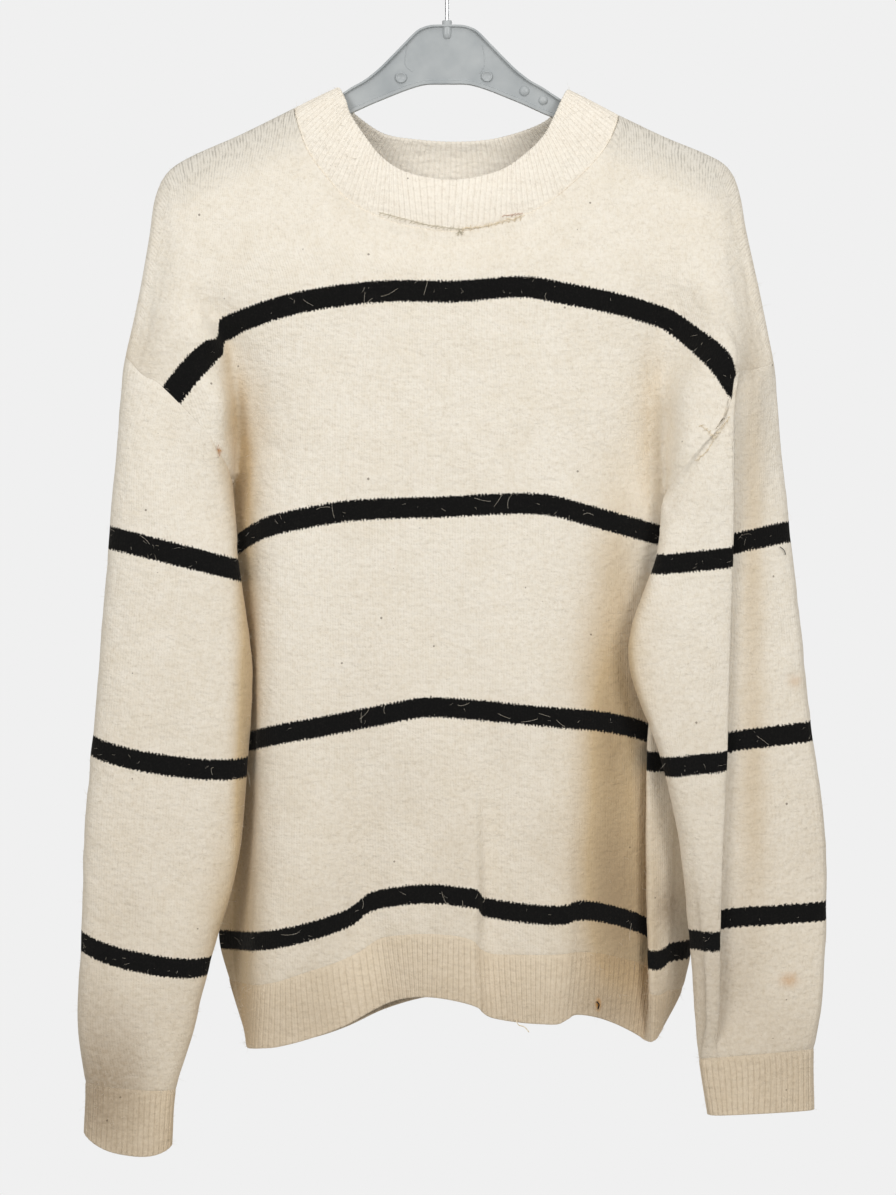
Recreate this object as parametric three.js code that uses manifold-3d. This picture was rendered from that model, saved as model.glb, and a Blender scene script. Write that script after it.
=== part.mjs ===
// A striped, darned knitted sweater on a plastic hanger.
// Millimetres, +Z up, +X to the right as seen from the front, and the front faces -Y.
// The origin is the inner top of the hook, where a rail carries the hanger.
//
// Cloth pieces are walls through knitted courses. A course is a list of points
// [across, x, y, drop]: across runs from -1 at the left seam to +1 at the right seam, and
// drop is how far the point hangs below the top of the shoulders. A panel is the smooth
// surface through its courses, and a sleeve is the smooth tube through its rings.
import * as THREE from 'three';
import Module from 'manifold-3d';
import { mergeVertices } from 'three/addons/utils/BufferGeometryUtils.js';

const wasm = await Module();
wasm.setup();

// ---------------------------------------------------------------- driving dimensions
const SHOULDER_Z = -122.6; // top of the shoulders below the rail
const CLOTH = 2; // thickness of the felted knit
const COLLAR_CLOTH = 3.2; // thickness of the doubled collar
const PRESSED = 0.8; // share of the cloth's thickness left where a piece joins its neighbour
const SEAM_GAP = 0.45; // gap between two pieces at a seam
const RIDGE_GAP = 0.4; // gap between front and back at the shoulders and sides

const ARMHOLE_LEVEL = 270; // level of the underarm point
const RIB_LEVEL = 636; // level of the hem rib's seam
const HEM_LEVEL = 682; // level of the hem

const NECK_LEFT = -0.356; // across position of the left neck point on the shoulder line
const NECK_RIGHT = 0.371; // across position of the right neck point

const ACROSS = [
  -1, -0.95, -0.9, -0.85, -0.8, -0.75, -0.7, -0.64, -0.57, -0.48, -0.41, NECK_LEFT, -0.342, -0.31, -0.25,
  -0.17, -0.08, 0.01, 0.1, 0.18, 0.26, 0.32, 0.36, NECK_RIGHT, 0.43, 0.5, 0.57, 0.64, 0.7, 0.76, 0.81,
  0.86, 0.91, 0.95, 1,
];
const BACK_SKIPS = [-0.95, -0.85, -0.75, -0.57, -0.41, -0.17, 0.18, 0.43, 0.57, 0.76, 0.86, 0.95];
const LEVELS_ABOVE_ARMHOLE = [
  0, 3.6, 8, 34, 70, 106, 142, 156, 170, 184, 202, 220, 245, ARMHOLE_LEVEL,
];
const LEVELS_BELOW_ARMHOLE = [300, 350, 400, 450, 500, 550, 585, 611, RIB_LEVEL];

const WIRE_RADIUS = 1.5;
const WIRE_STEPS = 44; // facets along the hook wire
const HOOK_RADIUS = 19.5; // centre line of the hook
const HOOK_START = (-135 * Math.PI) / 180; // where the bow leaves the swan neck
const HOOK_END = (15 * Math.PI) / 180; // where the bow's free end stops
const STEM_TOP = -52; // where the wire starts to bend
const STEM_SUNK = 10.5; // how far the wire goes into the boss
const BOSS_TOP = -72;
const BOSS_RADIUS = 3.6;
const BOSS_HEIGHT = 14;
const BORE_PLAY = 0.3; // room between the wire and the boss
const BORE_DEPTH = 11;
const PLATE_RIM = 8; // depth of the hanger's rim, front to back
const PLATE_WEB = 3; // depth of its web
const RIM_WIDTH = 2.2;
const STUD_RADIUS = 4; // the studs moulded through the web, 3 mm at their front
const STUDS = [[-33.8, -113.8], [29.4, -113.1], [56.5, -124.1], [69.7, -131.5]];

// ---------------------------------------------------------------- courses of the front
const SHOULDER_LEFT = [
  [-1, -235.6, -12, 197], [-0.86, -226, -7, 152], [-0.76, -218.5, -3, 108], [-0.705, -214.5, 0, 80],
  [-0.665, -206.5, 0, 62.5], [-0.61, -191, 0, 51], [-0.48, -151, 0, 33], [NECK_LEFT, -112.3, 0, 13.9],
];
const SHOULDER_RIGHT = [
  [NECK_RIGHT, 126.2, 0, 19.1], [0.48, 158.5, 0, 34.5], [0.61, 199, 0, 52], [0.66, 210, 0, 63],
  [0.7, 215.5, 0, 79], [0.76, 219.5, -2, 103], [0.87, 229.5, -6, 150], [1, 239.3, -10, 200.4],
];
const FRONT_ROWS = [
  { level: 0, points: [
    ...SHOULDER_LEFT, [NECK_LEFT, -112.3, 0, 13.9], [-0.342, -110.8, -7, 21],
    [-0.31, -103, -12, 44], [-0.265, -88.8, -16, 64.6], [-0.215, -71.9, -19, 82.9],
    [-0.14, -47, -21, 96.2], [-0.064, -21.3, -22, 103.5],
    [0.026, 8.8, -22.5, 105.7], [0.112, 37.4, -22, 99.8], [0.205, 68.3, -20, 88.1],
    [0.288, 96.2, -16, 66.1], [0.335, 116.7, -11, 42.6], [0.36, 124.5, -6, 26],
    [NECK_RIGHT, 126.2, 0, 19.1], ...SHOULDER_RIGHT,
  ] },
  { level: 8, points: [
    [-1, -231.5, -21, 201], [-0.86, -219, -17, 155], [-0.76, -211, -11.5, 110], [-0.705, -206.5, -9, 84],
    [-0.665, -200, -8.5, 71], [-0.61, -187, -8.5, 60], [-0.48, -148, -8.5, 41.5],
    [NECK_LEFT, -114, -9.5, 27], [-0.31, -108, -14, 50], [-0.265, -94, -17.5, 71], [-0.215, -76, -20, 90],
    [-0.14, -49, -22, 104], [-0.064, -22, -23, 111.5], [0.026, 8.8, -23.5, 113.7], [0.112, 39, -23, 107.5],
    [0.205, 72, -21, 95], [0.288, 102, -18, 71.5], [0.335, 122, -13, 48.5], [NECK_RIGHT, 128.5, -9.5, 32],
    [0.48, 156, -8.5, 43], [0.61, 195, -8.5, 61], [0.66, 203.5, -8.5, 71], [0.7, 207.5, -9, 84],
    [0.76, 212, -10.5, 105], [0.87, 222.5, -15, 153], [1, 235.5, -19, 203.5],
  ] },
  { level: 70, points: [
    [-1, -222, -27, 211], [-0.86, -205, -31, 178], [-0.76, -190, -28, 148], [-0.66, -176, -25, 127],
    [-0.56, -160, -23, 112], [-0.45, -136, -23, 101], [-0.36, -111, -23, 97], [-0.265, -86, -25, 106],
    [-0.14, -46, -28, 121], [0, 0, -30, 126], [0.15, 46, -29, 120], [0.25, 78, -27, 112],
    [0.36, 111, -24, 103], [0.46, 140, -22, 105], [0.56, 163, -22, 115], [0.66, 181, -26, 131],
    [0.76, 196, -33, 152], [0.87, 211, -35, 182], [1, 224, -27, 207],
  ] },
  { level: 142, points: [
    [-1, -207, -31, 220.2], [-0.9, -191, -34, 200.5], [-0.82, -176, -33.5, 186], [-0.79, -171, -28, 181],
    [-0.755, -168, -20, 174.5], [-0.71, -161, -21, 168], [-0.65, -149.7, -26, 162.2],
    [-0.52, -121.1, -31, 152.7], [-0.35, -81.5, -33.5, 145.3], [-0.18, -41.8, -35, 141.7],
    [0.02, 5.9, -35.5, 142.2], [0.24, 57.3, -34.5, 138.9], [0.35, 85.1, -33.5, 143.1],
    [0.51, 126.2, -30, 151.2], [0.62, 153, -23, 158.5], [0.67, 166.6, -21, 162.2],
    [0.74, 183.5, -32, 175.4], [0.81, 196.7, -41, 188.6], [0.87, 204.8, -44.5, 197.4],
    [0.94, 208.2, -45, 205.5], [1, 209.5, -43.5, 213],
  ] },
  { level: 184, points: [
    [-1, -178, -34, 250], [-0.92, -165.5, -33, 232], [-0.885, -161.5, -26, 226], [-0.84, -159, -14, 220],
    [-0.79, -155, -10, 214], [-0.73, -147, -16, 208], [-0.62, -129, -26, 200], [-0.5, -108, -31, 194],
    [-0.3, -66, -34.5, 188], [0, 0, -36.5, 185], [0.3, 66, -35, 184], [0.48, 106, -32, 192],
    [0.6, 133, -26, 198], [0.68, 150, -17, 203], [0.735, 160, -13, 207], [0.78, 165, -20, 214],
    [0.83, 172, -35, 222], [0.9, 184, -44, 232], [1, 203, -48, 242],
  ] },
  { level: 220, points: [
    [-1, -166.5, -30, 266], [-0.96, -160.5, -22, 264], [-0.91, -157, -10, 260], [-0.86, -154.5, -3, 256],
    [-0.8, -150, -4, 250], [-0.72, -142, -12, 243], [-0.62, -126, -24, 236], [-0.5, -106, -31, 229],
    [-0.3, -65, -35, 223], [0, 0, -37.5, 220], [0.3, 65, -36, 219], [0.48, 104, -32.5, 227],
    [0.6, 131, -25, 233], [0.68, 148, -15, 238], [0.75, 158, -9, 243], [0.81, 163, -14, 250],
    [0.86, 165.5, -28, 256], [0.92, 171, -42, 261], [1, 185, -48, 263],
  ] },
  { level: 245, points: [
    [-1, -159.5, -17, 279], [-0.95, -156.5, -8, 277], [-0.9, -154.5, -2, 274], [-0.83, -149, -3, 269],
    [-0.75, -141.5, -12, 262], [-0.63, -126, -24, 256], [-0.5, -104, -31.5, 250], [-0.3, -64, -35.5, 244],
    [0, 0, -38, 241.5], [0.3, 65, -36.5, 241], [0.48, 104, -32, 249], [0.6, 130, -23, 255],
    [0.68, 145, -14, 259], [0.77, 156, -6, 265], [0.84, 160, -9, 271], [0.9, 162.5, -22, 275],
    [0.95, 165, -36, 277], [1, 172, -44, 278],
  ] },
  { level: ARMHOLE_LEVEL, points: [
    [-1, -158, 2, 289], [-0.93, -154.5, 0, 287], [-0.85, -149, -5, 284], [-0.76, -141, -14, 279],
    [-0.65, -126, -24, 274], [-0.5, -102, -32, 268], [-0.3, -63, -36, 262], [0, 0, -38.5, 259.5],
    [0.3, 64, -37, 261], [0.5, 106, -31, 270], [0.63, 133, -22, 277], [0.73, 148, -14, 282],
    [0.83, 156, -9, 287], [0.92, 161, -5, 291], [1, 165, 2, 294],
  ] },
  { level: 300, points: [
    [-1, -164, 13, 331], [-0.86, -154, -3, 326.5], [-0.76, -143.5, -16, 320], [-0.65, -129, -27, 313.5],
    [-0.5, -103, -34, 307.5], [-0.34, -72, -36.5, 302.5], [-0.17, -36, -38, 300.5], [0, 0, -39, 299.5],
    [0.17, 36, -39, 297.5], [0.34, 72, -38, 298], [0.5, 104, -34, 306], [0.64, 130, -27, 313],
    [0.75, 146, -17, 317.5], [0.84, 155, -10, 320], [0.92, 161, -6, 322], [1, 165, 2, 324],
  ] },
  { level: 450, points: [
    [-1, -165, 22, 475], [-0.88, -150, 5, 473], [-0.78, -140.5, -14, 471.5], [-0.7, -137.5, -30, 470],
    [-0.6, -121, -36, 466.5], [-0.42, -86, -38, 460.2], [-0.22, -45, -40, 452], [-0.08, -16, -41, 447],
    [0.08, 16, -41.5, 448.5], [0.26, 53.6, -42, 452.1], [0.42, 86, -40, 455], [0.55, 112.3, -34, 457.3],
    [0.65, 131, -24, 461], [0.72, 143, -15.5, 464.6], [0.765, 150.5, -7.5, 469], [0.8, 153, -6.5, 474],
    [0.835, 149, -14, 481], [0.865, 146, -22, 485.5], [0.895, 148, -25, 486.6], [0.94, 156, -21, 487.3],
    [1, 167, -12, 487],
  ] },
  { level: 600, points: [
    [-1, -168.8, 26, 621.7], [-0.88, -154, 7, 621.2], [-0.77, -143, -14, 620.6], [-0.69, -138.5, -28, 620],
    [-0.6, -123, -35, 617.5], [-0.5, -102.8, -37, 612.9], [-0.38, -77, -32, 604.8],
    [-0.33, -67, -28, 599.5], [-0.285, -57.5, -27, 591.6], [-0.19, -37.4, -33, 586.5],
    [-0.06, -11, -39, 584.3], [0.05, 12, -41.5, 586.5], [0.1, 22.8, -41, 588.7], [0.13, 26, -35, 593.8],
    [0.17, 33, -33, 595.5], [0.25, 50, -38, 597.8], [0.37, 73.4, -44, 599.7], [0.44, 88, -45, 598.9],
    [0.47, 93, -42, 596.7], [0.54, 106.4, -36, 597], [0.64, 126.2, -25, 601.9], [0.71, 140, -15, 607],
    [0.755, 148.5, -7, 612], [0.79, 152, -6.5, 619], [0.825, 149, -14, 627], [0.86, 146.2, -22, 632],
    [0.89, 149, -25.5, 633.4], [0.94, 156, -21, 633.4], [1, 163, -16, 628.5],
  ] },
  { level: RIB_LEVEL, points: [
    [-1, -161, 24, 655], [-0.86, -152, 4, 656], [-0.76, -144.5, -14, 656.5], [-0.69, -139, -24, 656.5],
    [-0.6, -123, -32, 653], [-0.5, -104, -35, 646.5], [-0.38, -79, -31, 638.5], [-0.32, -63, -27, 631],
    [-0.26, -50, -27, 622.4], [-0.18, -35, -32, 619.3], [-0.06, -11, -38, 618], [0.05, 11, -41, 620],
    [0.09, 20, -41, 623.5], [0.125, 25.5, -35, 629.5], [0.17, 33, -33, 632.7], [0.25, 50, -38, 632.9],
    [0.37, 73.4, -44, 632.7], [0.44, 88.5, -45, 631.8], [0.47, 93.5, -42, 631], [0.54, 106.4, -36, 631.5],
    [0.64, 125, -26, 635.5], [0.71, 139, -16, 640], [0.755, 147, -8.5, 645], [0.79, 151, -7.5, 651],
    [0.825, 149, -14, 657], [0.86, 147, -21, 661.5], [0.89, 149.5, -24.5, 663], [0.94, 155.5, -21, 663.5],
    [1, 161, -15, 661],
  ] },
];
const FRONT_HEM = { level: HEM_LEVEL, points: [
  [-1, -148, 20, 697], [-0.86, -147.5, 4, 701.5], [-0.76, -146, -10, 702.4], [-0.69, -142, -19, 702],
  [-0.6, -122, -27, 700.3], [-0.5, -100, -31, 694], [-0.38, -73, -29, 684], [-0.3, -52, -26, 672.5],
  [-0.24, -40, -28, 667], [-0.15, -26, -32, 664], [-0.05, -10, -37, 663.6], [0.04, 8.8, -40, 666.5],
  [0.1, 23, -40, 671], [0.13, 29, -36, 676.5], [0.17, 36, -34, 679.3], [0.25, 52, -38, 681.6],
  [0.36, 70, -42, 682.6], [0.42, 81, -43, 682.4], [0.46, 88, -42, 679], [0.49, 93.5, -40, 676],
  [0.55, 106.4, -35, 677.5], [0.64, 121, -27, 682.5], [0.71, 134, -20, 689], [0.76, 141.5, -15, 693.6],
  [0.81, 145, -13, 696.5], [0.86, 147.5, -16, 697.5], [0.9, 150, -17.5, 697.3], [0.94, 153.5, -15, 695.5],
  [1, 157, -10, 690],
] };

// ---------------------------------------------------------------- courses of the back
const BACK_ROWS = [
  { level: 0, points: [
    ...SHOULDER_LEFT, [NECK_LEFT, -112.3, 0, 13.9], [-0.342, -110, 7, 22],
    [-0.3, -98, 13, 40], [-0.21, -70, 17, 56], [-0.1, -34, 20, 65], [0.015, 5, 21, 68.5],
    [0.13, 43, 20, 65.5], [0.24, 80, 17, 57], [0.32, 108, 12, 40], [0.36, 123, 7, 26],
    [NECK_RIGHT, 126.2, 0, 19.1], ...SHOULDER_RIGHT,
  ] },
  { level: 8, points: [
    [-1, -235.5, -3, 204], [-0.86, -221.5, 4, 158], [-0.76, -211.5, 8, 112], [-0.705, -206.5, 8.5, 85],
    [-0.665, -200, 8.5, 71], [-0.61, -187, 8.5, 60], [-0.48, -148, 8.5, 41.5], [NECK_LEFT, -114, 9.5, 27],
    [-0.3, -104, 14, 46], [-0.21, -74, 18, 63], [-0.1, -36, 21.5, 73], [0.015, 5, 22.5, 76.5],
    [0.13, 45, 21.5, 73.5], [0.24, 84, 18, 64], [0.32, 114, 13, 46], [NECK_RIGHT, 128.5, 9.5, 32],
    [0.48, 156, 8.5, 43], [0.61, 195, 8.5, 61], [0.66, 203.5, 8.5, 71], [0.7, 207.5, 9, 84],
    [0.76, 212.5, 9, 105], [0.87, 225, 5, 156], [1, 239.5, -2, 207],
  ] },
  { level: 70, points: [
    [-1, -229, 3, 217], [-0.86, -212, 13, 182], [-0.7, -188, 19, 148], [-0.5, -146, 22, 112],
    [-0.3, -90, 25, 100], [0, 0, 27, 107], [0.3, 93, 25, 101], [0.5, 147, 22, 113], [0.7, 190, 19, 147],
    [0.87, 217, 12, 184], [1, 234, 4, 220],
  ] },
  { level: 142, points: [
    [-1, -213, 8, 236], [-0.85, -190, 19, 208], [-0.65, -152, 26, 176], [-0.4, -97, 29, 153],
    [-0.15, -38, 30, 144], [0.1, 22, 30, 143], [0.4, 98, 29, 152], [0.65, 155, 25, 175],
    [0.85, 196, 16, 208], [1, 219, 8, 236],
  ] },
  { level: 184, points: [
    [-1, -192, 13, 256], [-0.85, -171, 24, 236], [-0.65, -140, 31, 214], [-0.4, -90, 34, 196],
    [0, 0, 35, 187], [0.4, 91, 34, 196], [0.65, 142, 30, 214], [0.85, 177, 22, 238], [1, 203, 11, 260],
  ] },
  { level: 220, points: [
    [-1, -175, 13, 271], [-0.85, -160, 26, 258], [-0.65, -133, 34, 243], [-0.4, -86, 38, 229],
    [0, 0, 39, 222], [0.4, 87, 38, 229], [0.65, 134, 33, 243], [0.85, 165, 24, 259], [1, 187, 13, 277],
  ] },
  { level: 245, points: [
    [-1, -165, 9.5, 281], [-0.85, -154, 25, 273], [-0.65, -124, 35, 262], [-0.4, -83, 40, 249],
    [0, 0, 41, 242], [0.4, 84, 39, 249], [0.65, 130, 33, 262], [0.85, 159, 22, 277], [1, 174, 11, 287],
  ] },
  { level: ARMHOLE_LEVEL, points: [
    [-1, -158, 2, 289], [-0.9, -153, 15, 286], [-0.8, -144, 26, 282], [-0.62, -116, 36, 274],
    [-0.4, -80, 41, 266], [-0.15, -32, 38, 261], [0.1, 20, 42, 260], [0.35, 72, 38, 264],
    [0.6, 115, 38, 273], [0.8, 147, 25, 284], [0.9, 160, 15, 290], [1, 165, 2, 294],
  ] },
  { level: 300, points: [
    [-1, -164, 13, 331], [-0.9, -155, 27, 327], [-0.78, -138, 36, 320], [-0.6, -110, 36, 312],
    [-0.4, -78, 43, 304], [-0.15, -32, 37, 300], [0.1, 18, 44, 299], [0.35, 66, 37, 301],
    [0.6, 112, 41, 310], [0.78, 144, 33, 319], [0.9, 162, 18, 324], [1, 165, 2, 324],
  ] },
  { level: 450, points: [
    [-1, -165, 22, 475], [-0.93, -160, 36, 474], [-0.82, -143, 44, 471], [-0.66, -113, 33, 466],
    [-0.45, -80, 45, 459], [-0.25, -48, 38, 454], [-0.05, -10, 33, 450], [0.15, 25, 46, 449],
    [0.35, 60, 36, 452], [0.52, 92, 36, 458], [0.7, 128, 47, 466], [0.84, 157, 38, 474],
    [0.93, 175, 18, 482], [1, 167, -12, 487],
  ] },
  { level: 600, points: [
    [-1, -168.8, 26, 621.7], [-0.93, -160, 40, 621], [-0.82, -140, 46, 619], [-0.66, -112, 30, 614],
    [-0.45, -82, 44, 606], [-0.25, -48, 36, 599], [-0.05, -10, 28, 594], [0.15, 25, 46, 594],
    [0.35, 60, 34, 599], [0.52, 92, 30, 605], [0.7, 127, 46, 613], [0.84, 157, 42, 620],
    [0.93, 178, 18, 626], [1, 163, -16, 628.5],
  ] },
  { level: RIB_LEVEL, points: [
    [-1, -161, 24, 655], [-0.93, -154, 37, 656], [-0.82, -136, 43, 655], [-0.66, -109, 30, 650],
    [-0.45, -79, 41, 641], [-0.25, -46, 34, 634], [-0.05, -10, 28, 629], [0.15, 25, 43, 629],
    [0.35, 59, 33, 634], [0.52, 89, 30, 640], [0.7, 122, 43, 648], [0.84, 150, 40, 655],
    [0.93, 171, 18, 660], [1, 161, -15, 661],
  ] },
];
const BACK_HEM = { level: HEM_LEVEL, points: [
  [-1, -148, 20, 697], [-0.93, -143, 31, 701], [-0.82, -128, 37, 702], [-0.66, -104, 29, 698],
  [-0.45, -75, 36, 690], [-0.25, -44, 31, 682], [-0.05, -10, 28, 676], [0.15, 24, 38, 676],
  [0.35, 56, 31, 681], [0.52, 84, 29, 686], [0.7, 114, 37, 692], [0.84, 138, 34, 697],
  [0.93, 156, 16, 697], [1, 157, -10, 690],
] };

// ---------------------------------------------------------------- sleeve rings
// Each ring: knitted distance below the armhole, outer and inner edge [x, y, drop], how far
// the middle of the front hangs below the line between them, and how far its front and back
// stand out from that line. A right ring also has its pleat: the fold line's x, its drop on
// the outer side and on the front side, and the hidden depth of the fold.
const LEFT_RINGS = [
  { knit: 45, outer: [-241, -15, 258], inner: [-154, -15, 318], sag: -2, front: 19, back: 20 },
  { knit: 105, outer: [-246.6, -17, 322], inner: [-152, -22, 346], sag: 0, front: 18, back: 19 },
  { knit: 185, outer: [-252.5, -18, 398], inner: [-145, -22, 421], sag: 1, front: 19, back: 20 },
  { knit: 256, outer: [-259, -18, 476.4], inner: [-147, -22, 492], sag: 7, front: 18, back: 20 },
  { knit: 332, outer: [-265, -17, 550], inner: [-152.5, -21, 566], sag: 8, front: 17, back: 20 },
  { knit: 407, outer: [-267.5, -16, 622], inner: [-173.5, -19, 640], sag: 7, front: 16, back: 19 },
  { knit: 470, outer: [-269.5, -15, 688], inner: [-186, -18, 694], sag: 4, front: 15, back: 17 },
  { knit: 512, outer: [-264.5, -14, 727], inner: [-198, -16, 732.5], sag: 2, front: 13, back: 14 },
];
const LEFT_CUFF_END = {
  knit: 558, outer: [-265.5, -14, 764], inner: [-201, -16, 773], sag: 11, front: 12, back: 13,
};
const RIGHT_RINGS = [
  { knit: 45, outer: [243.5, -12, 256], inner: [162, -27, 315], front: 22, back: 22,
    fold: 208.5, foldDrops: [272, 276], hidden: 8 },
  { knit: 105, outer: [249.6, -14, 318], inner: [152.7, -38, 342], front: 14, back: 16,
    fold: 208.3, foldDrops: [327, 336.2], hidden: 15 },
  { knit: 180, outer: [258, -15, 391], inner: [135.5, -43, 417], front: 14, back: 17,
    fold: 206, foldDrops: [399, 410], hidden: 17 },
  { knit: 256, outer: [265.7, -16, 464], inner: [154.9, -40, 489.6], front: 14, back: 18,
    fold: 204, foldDrops: [472, 484.4], hidden: 17 },
  { knit: 332, outer: [275, -16, 533], inner: [169, -36, 552], front: 14, back: 18,
    fold: 200.5, foldDrops: [540, 552], hidden: 17 },
  { knit: 400, outer: [276.7, -16, 597], inner: [176.2, -34, 617], front: 13, back: 18,
    fold: 198.5, foldDrops: [603, 617.3], hidden: 15 },
  { knit: 465, outer: [274, -15, 668], inner: [180.5, -31, 676], front: 12, back: 16,
    fold: 198, foldDrops: [672, 677], hidden: 8 },
  { knit: 503, outer: [268.3, -14, 703], inner: [183.5, -27, 709], front: 11, back: 14,
    fold: 199, foldDrops: [707, 708], hidden: 0 },
];
const RIGHT_CUFF_END = {
  knit: 548, outer: [268.5, -14, 747], inner: [190, -22, 750], front: 11, back: 12,
  fold: 203, foldDrops: [755, 756], hidden: 0,
};

// ---------------------------------------------------------------- collar edge
// Turned top edge of the collar: share of the way round from the left neck point, over the
// front to the right neck point at 0.5, and back behind the neck.
const COLLAR_TOP = [
  [-0.045, -74, 10, 12], [-0.02, -79, 6, 2], [0, -80.5, 0, -0.8], [0.02, -79, -6, 1.5],
  [0.045, -75, -10.5, 10], [0.075, -71.5, -13, 20],
  [0.115, -61, -16, 36], [0.165, -47, -18, 52.8], [0.21, -27.9, -20, 63.9], [0.25, 4.5, -21, 68.9],
  [0.3, 37.4, -20, 62.4], [0.345, 57, -18, 50], [0.39, 71.2, -16, 36], [0.43, 79.3, -13, 21.3],
  [0.458, 84, -10.5, 11], [0.48, 88, -6, 3.2], [0.5, 89.5, 0, 0.8], [0.52, 88, 6, 3.6], [0.545, 83, 10, 13],
  [0.58, 74, 13, 22.5],
  [0.63, 56, 16, 30.5], [0.69, 32, 18, 36.5], [0.75, 4.5, 19, 38.2], [0.81, -23, 18, 36.5],
  [0.87, -47, 16, 32.3], [0.92, -65, 13, 21], [0.955, -74, 10, 12], [0.98, -79, 6, 2], [1, -80.5, 0, -0.8],
];
const COLLAR_SWELL = 2.5; // how far the middle of the collar stands out

// ---------------------------------------------------------------- smooth curves and surfaces
/** Point of a smooth curve through keys [at, ...values]. A key given twice is a corner. */
function curve(keys, at) {
  const last = keys.length - 1;
  const t = Math.min(Math.max(at, keys[0][0]), keys[last][0]);
  let i = 0;
  while (i < last - 1 && keys[i + 1][0] < t) i += 1;
  const slope = (k, c) => {
    const from = k > 0 && keys[k - 1][0] < keys[k][0] ? k - 1 : k;
    const to = k < last && keys[k + 1][0] > keys[k][0] ? k + 1 : k;
    return (keys[to][c] - keys[from][c]) / (keys[to][0] - keys[from][0]);
  };
  const step = keys[i + 1][0] - keys[i][0];
  const s = (t - keys[i][0]) / step;
  const values = [];
  for (let c = 1; c < keys[i].length; c += 1) {
    const [a, b] = [keys[i][c], keys[i + 1][c]];
    const [ma, mb] = [slope(i, c) * step, slope(i + 1, c) * step];
    values.push(
      a * (1 + 2 * s) * (1 - s) ** 2 + b * s * s * (3 - 2 * s) + ma * s * (1 - s) ** 2 - mb * s * s * (1 - s)
    );
  }
  return values;
}

const place = ([x, y, drop]) => new THREE.Vector3(x, y, SHOULDER_Z - drop);

/** Key between the edge and the first course below it, where the cloth rolls over the ridge. */
function roll([edgeLevel, x, y, drop], [nextLevel, xNext, yNext, dropNext]) {
  const [forward, down] = [0.64, 0.2];
  const level = edgeLevel + (nextLevel - edgeLevel) * 0.45;
  return [level, x + (xNext - x) * down, y + (yNext - y) * forward, drop + (dropNext - drop) * down];
}

/** Grid of points: one row for each level, one column for each across position. */
function courseGrid(rows, levels, across) {
  const columns = across.map((t) => {
    const [edge, next, ...rest] = rows.map((row) => [row.level, ...curve(row.points, t)]);
    return [edge, roll(edge, next), next, ...rest];
  });
  return levels.map((level) => columns.map((keys) => place(curve(keys, level))));
}

/** Outward normals of a grid whose rows run left to right, or round a tube when closed. */
function gridNormals(grid, { closed = false, facing = 1 } = {}) {
  const rows = grid.length;
  const n = grid[0].length;
  return grid.map((row, j) => row.map((_, i) => {
    const left = closed ? row[(i - 1 + n) % n] : row[Math.max(i - 1, 0)];
    const right = closed ? row[(i + 1) % n] : row[Math.min(i + 1, n - 1)];
    const up = grid[Math.max(j - 1, 0)][i];
    const down = grid[Math.min(j + 1, rows - 1)][i];
    const along = right.clone().sub(left);
    const fall = down.clone().sub(up);
    return along.cross(fall).normalize().multiplyScalar(-facing);
  }));
}

/** Wall under a grid of outer points: its inner side is the grid moved in by the thickness. */
function wall(grid, normals, thickness, { closed = false, facing = 1 } = {}) {
  const rows = grid.length;
  const n = grid[0].length;
  const outer = grid.flat();
  const inner = grid.flatMap((row, j) => (
    row.map((p, i) => p.clone().addScaledVector(normals[j][i], -thickness))
  ));
  const position = [...outer, ...inner].flatMap((p) => p.toArray());
  const size = outer.length;
  const at = (j, i) => j * n + (i % n);
  const faces = [];
  const quad = (a, b, c, d) => {
    const order = facing > 0 ? [a, b, c, a, c, d] : [a, c, b, a, d, c];
    faces.push(...order);
  };
  const spans = closed ? n : n - 1;
  for (let j = 0; j < rows - 1; j += 1) {
    for (let i = 0; i < spans; i += 1) {
      const [a, b, c, d] = [at(j, i), at(j + 1, i), at(j + 1, i + 1), at(j, i + 1)];
      quad(a, b, c, d);
      quad(size + a, size + d, size + c, size + b);
    }
  }
  for (let i = 0; i < spans; i += 1) {
    quad(at(0, i + 1), size + at(0, i + 1), size + at(0, i), at(0, i));
    quad(at(rows - 1, i), size + at(rows - 1, i), size + at(rows - 1, i + 1), at(rows - 1, i + 1));
  }
  if (!closed) {
    for (let j = 0; j < rows - 1; j += 1) {
      quad(at(j, 0), size + at(j, 0), size + at(j + 1, 0), at(j + 1, 0));
      quad(at(j + 1, n - 1), size + at(j + 1, n - 1), size + at(j, n - 1), at(j, n - 1));
    }
  }
  const geometry = new THREE.BufferGeometry();
  geometry.setAttribute('position', new THREE.Float32BufferAttribute(position, 3));
  geometry.setIndex(faces);
  return geometry;
}

/** First row of the next piece: the last piece's edge moved on square to the seam by its gap. */
function pastSeam(edge, next, normals, closed) {
  const n = edge.length;
  return edge.map((p, i) => {
    const before = closed ? edge[(i - 1 + n) % n] : edge[Math.max(i - 1, 0)];
    const after = closed ? edge[(i + 1) % n] : edge[Math.min(i + 1, n - 1)];
    const onward = after.clone().sub(before).cross(normals[i]).normalize();
    const way = Math.sign(onward.dot(next[i].clone().sub(p)));
    return p.clone().addScaledVector(onward, way * SEAM_GAP);
  });
}

/** Shares the normals of two pieces along their seam; a corner key keeps to the front's plane. */
function shareNormals(seamNormals, ownNormals, corners) {
  seamNormals.forEach((normal, i) => {
    normal.add(ownNormals[i]);
    if (corners.includes(i)) normal.y = 0;
    normal.normalize();
  });
}

/** Normals shortened for the thinner cloth at a seam. */
const pressed = (normals) => normals.map((n) => n.clone().multiplyScalar(PRESSED));

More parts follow.
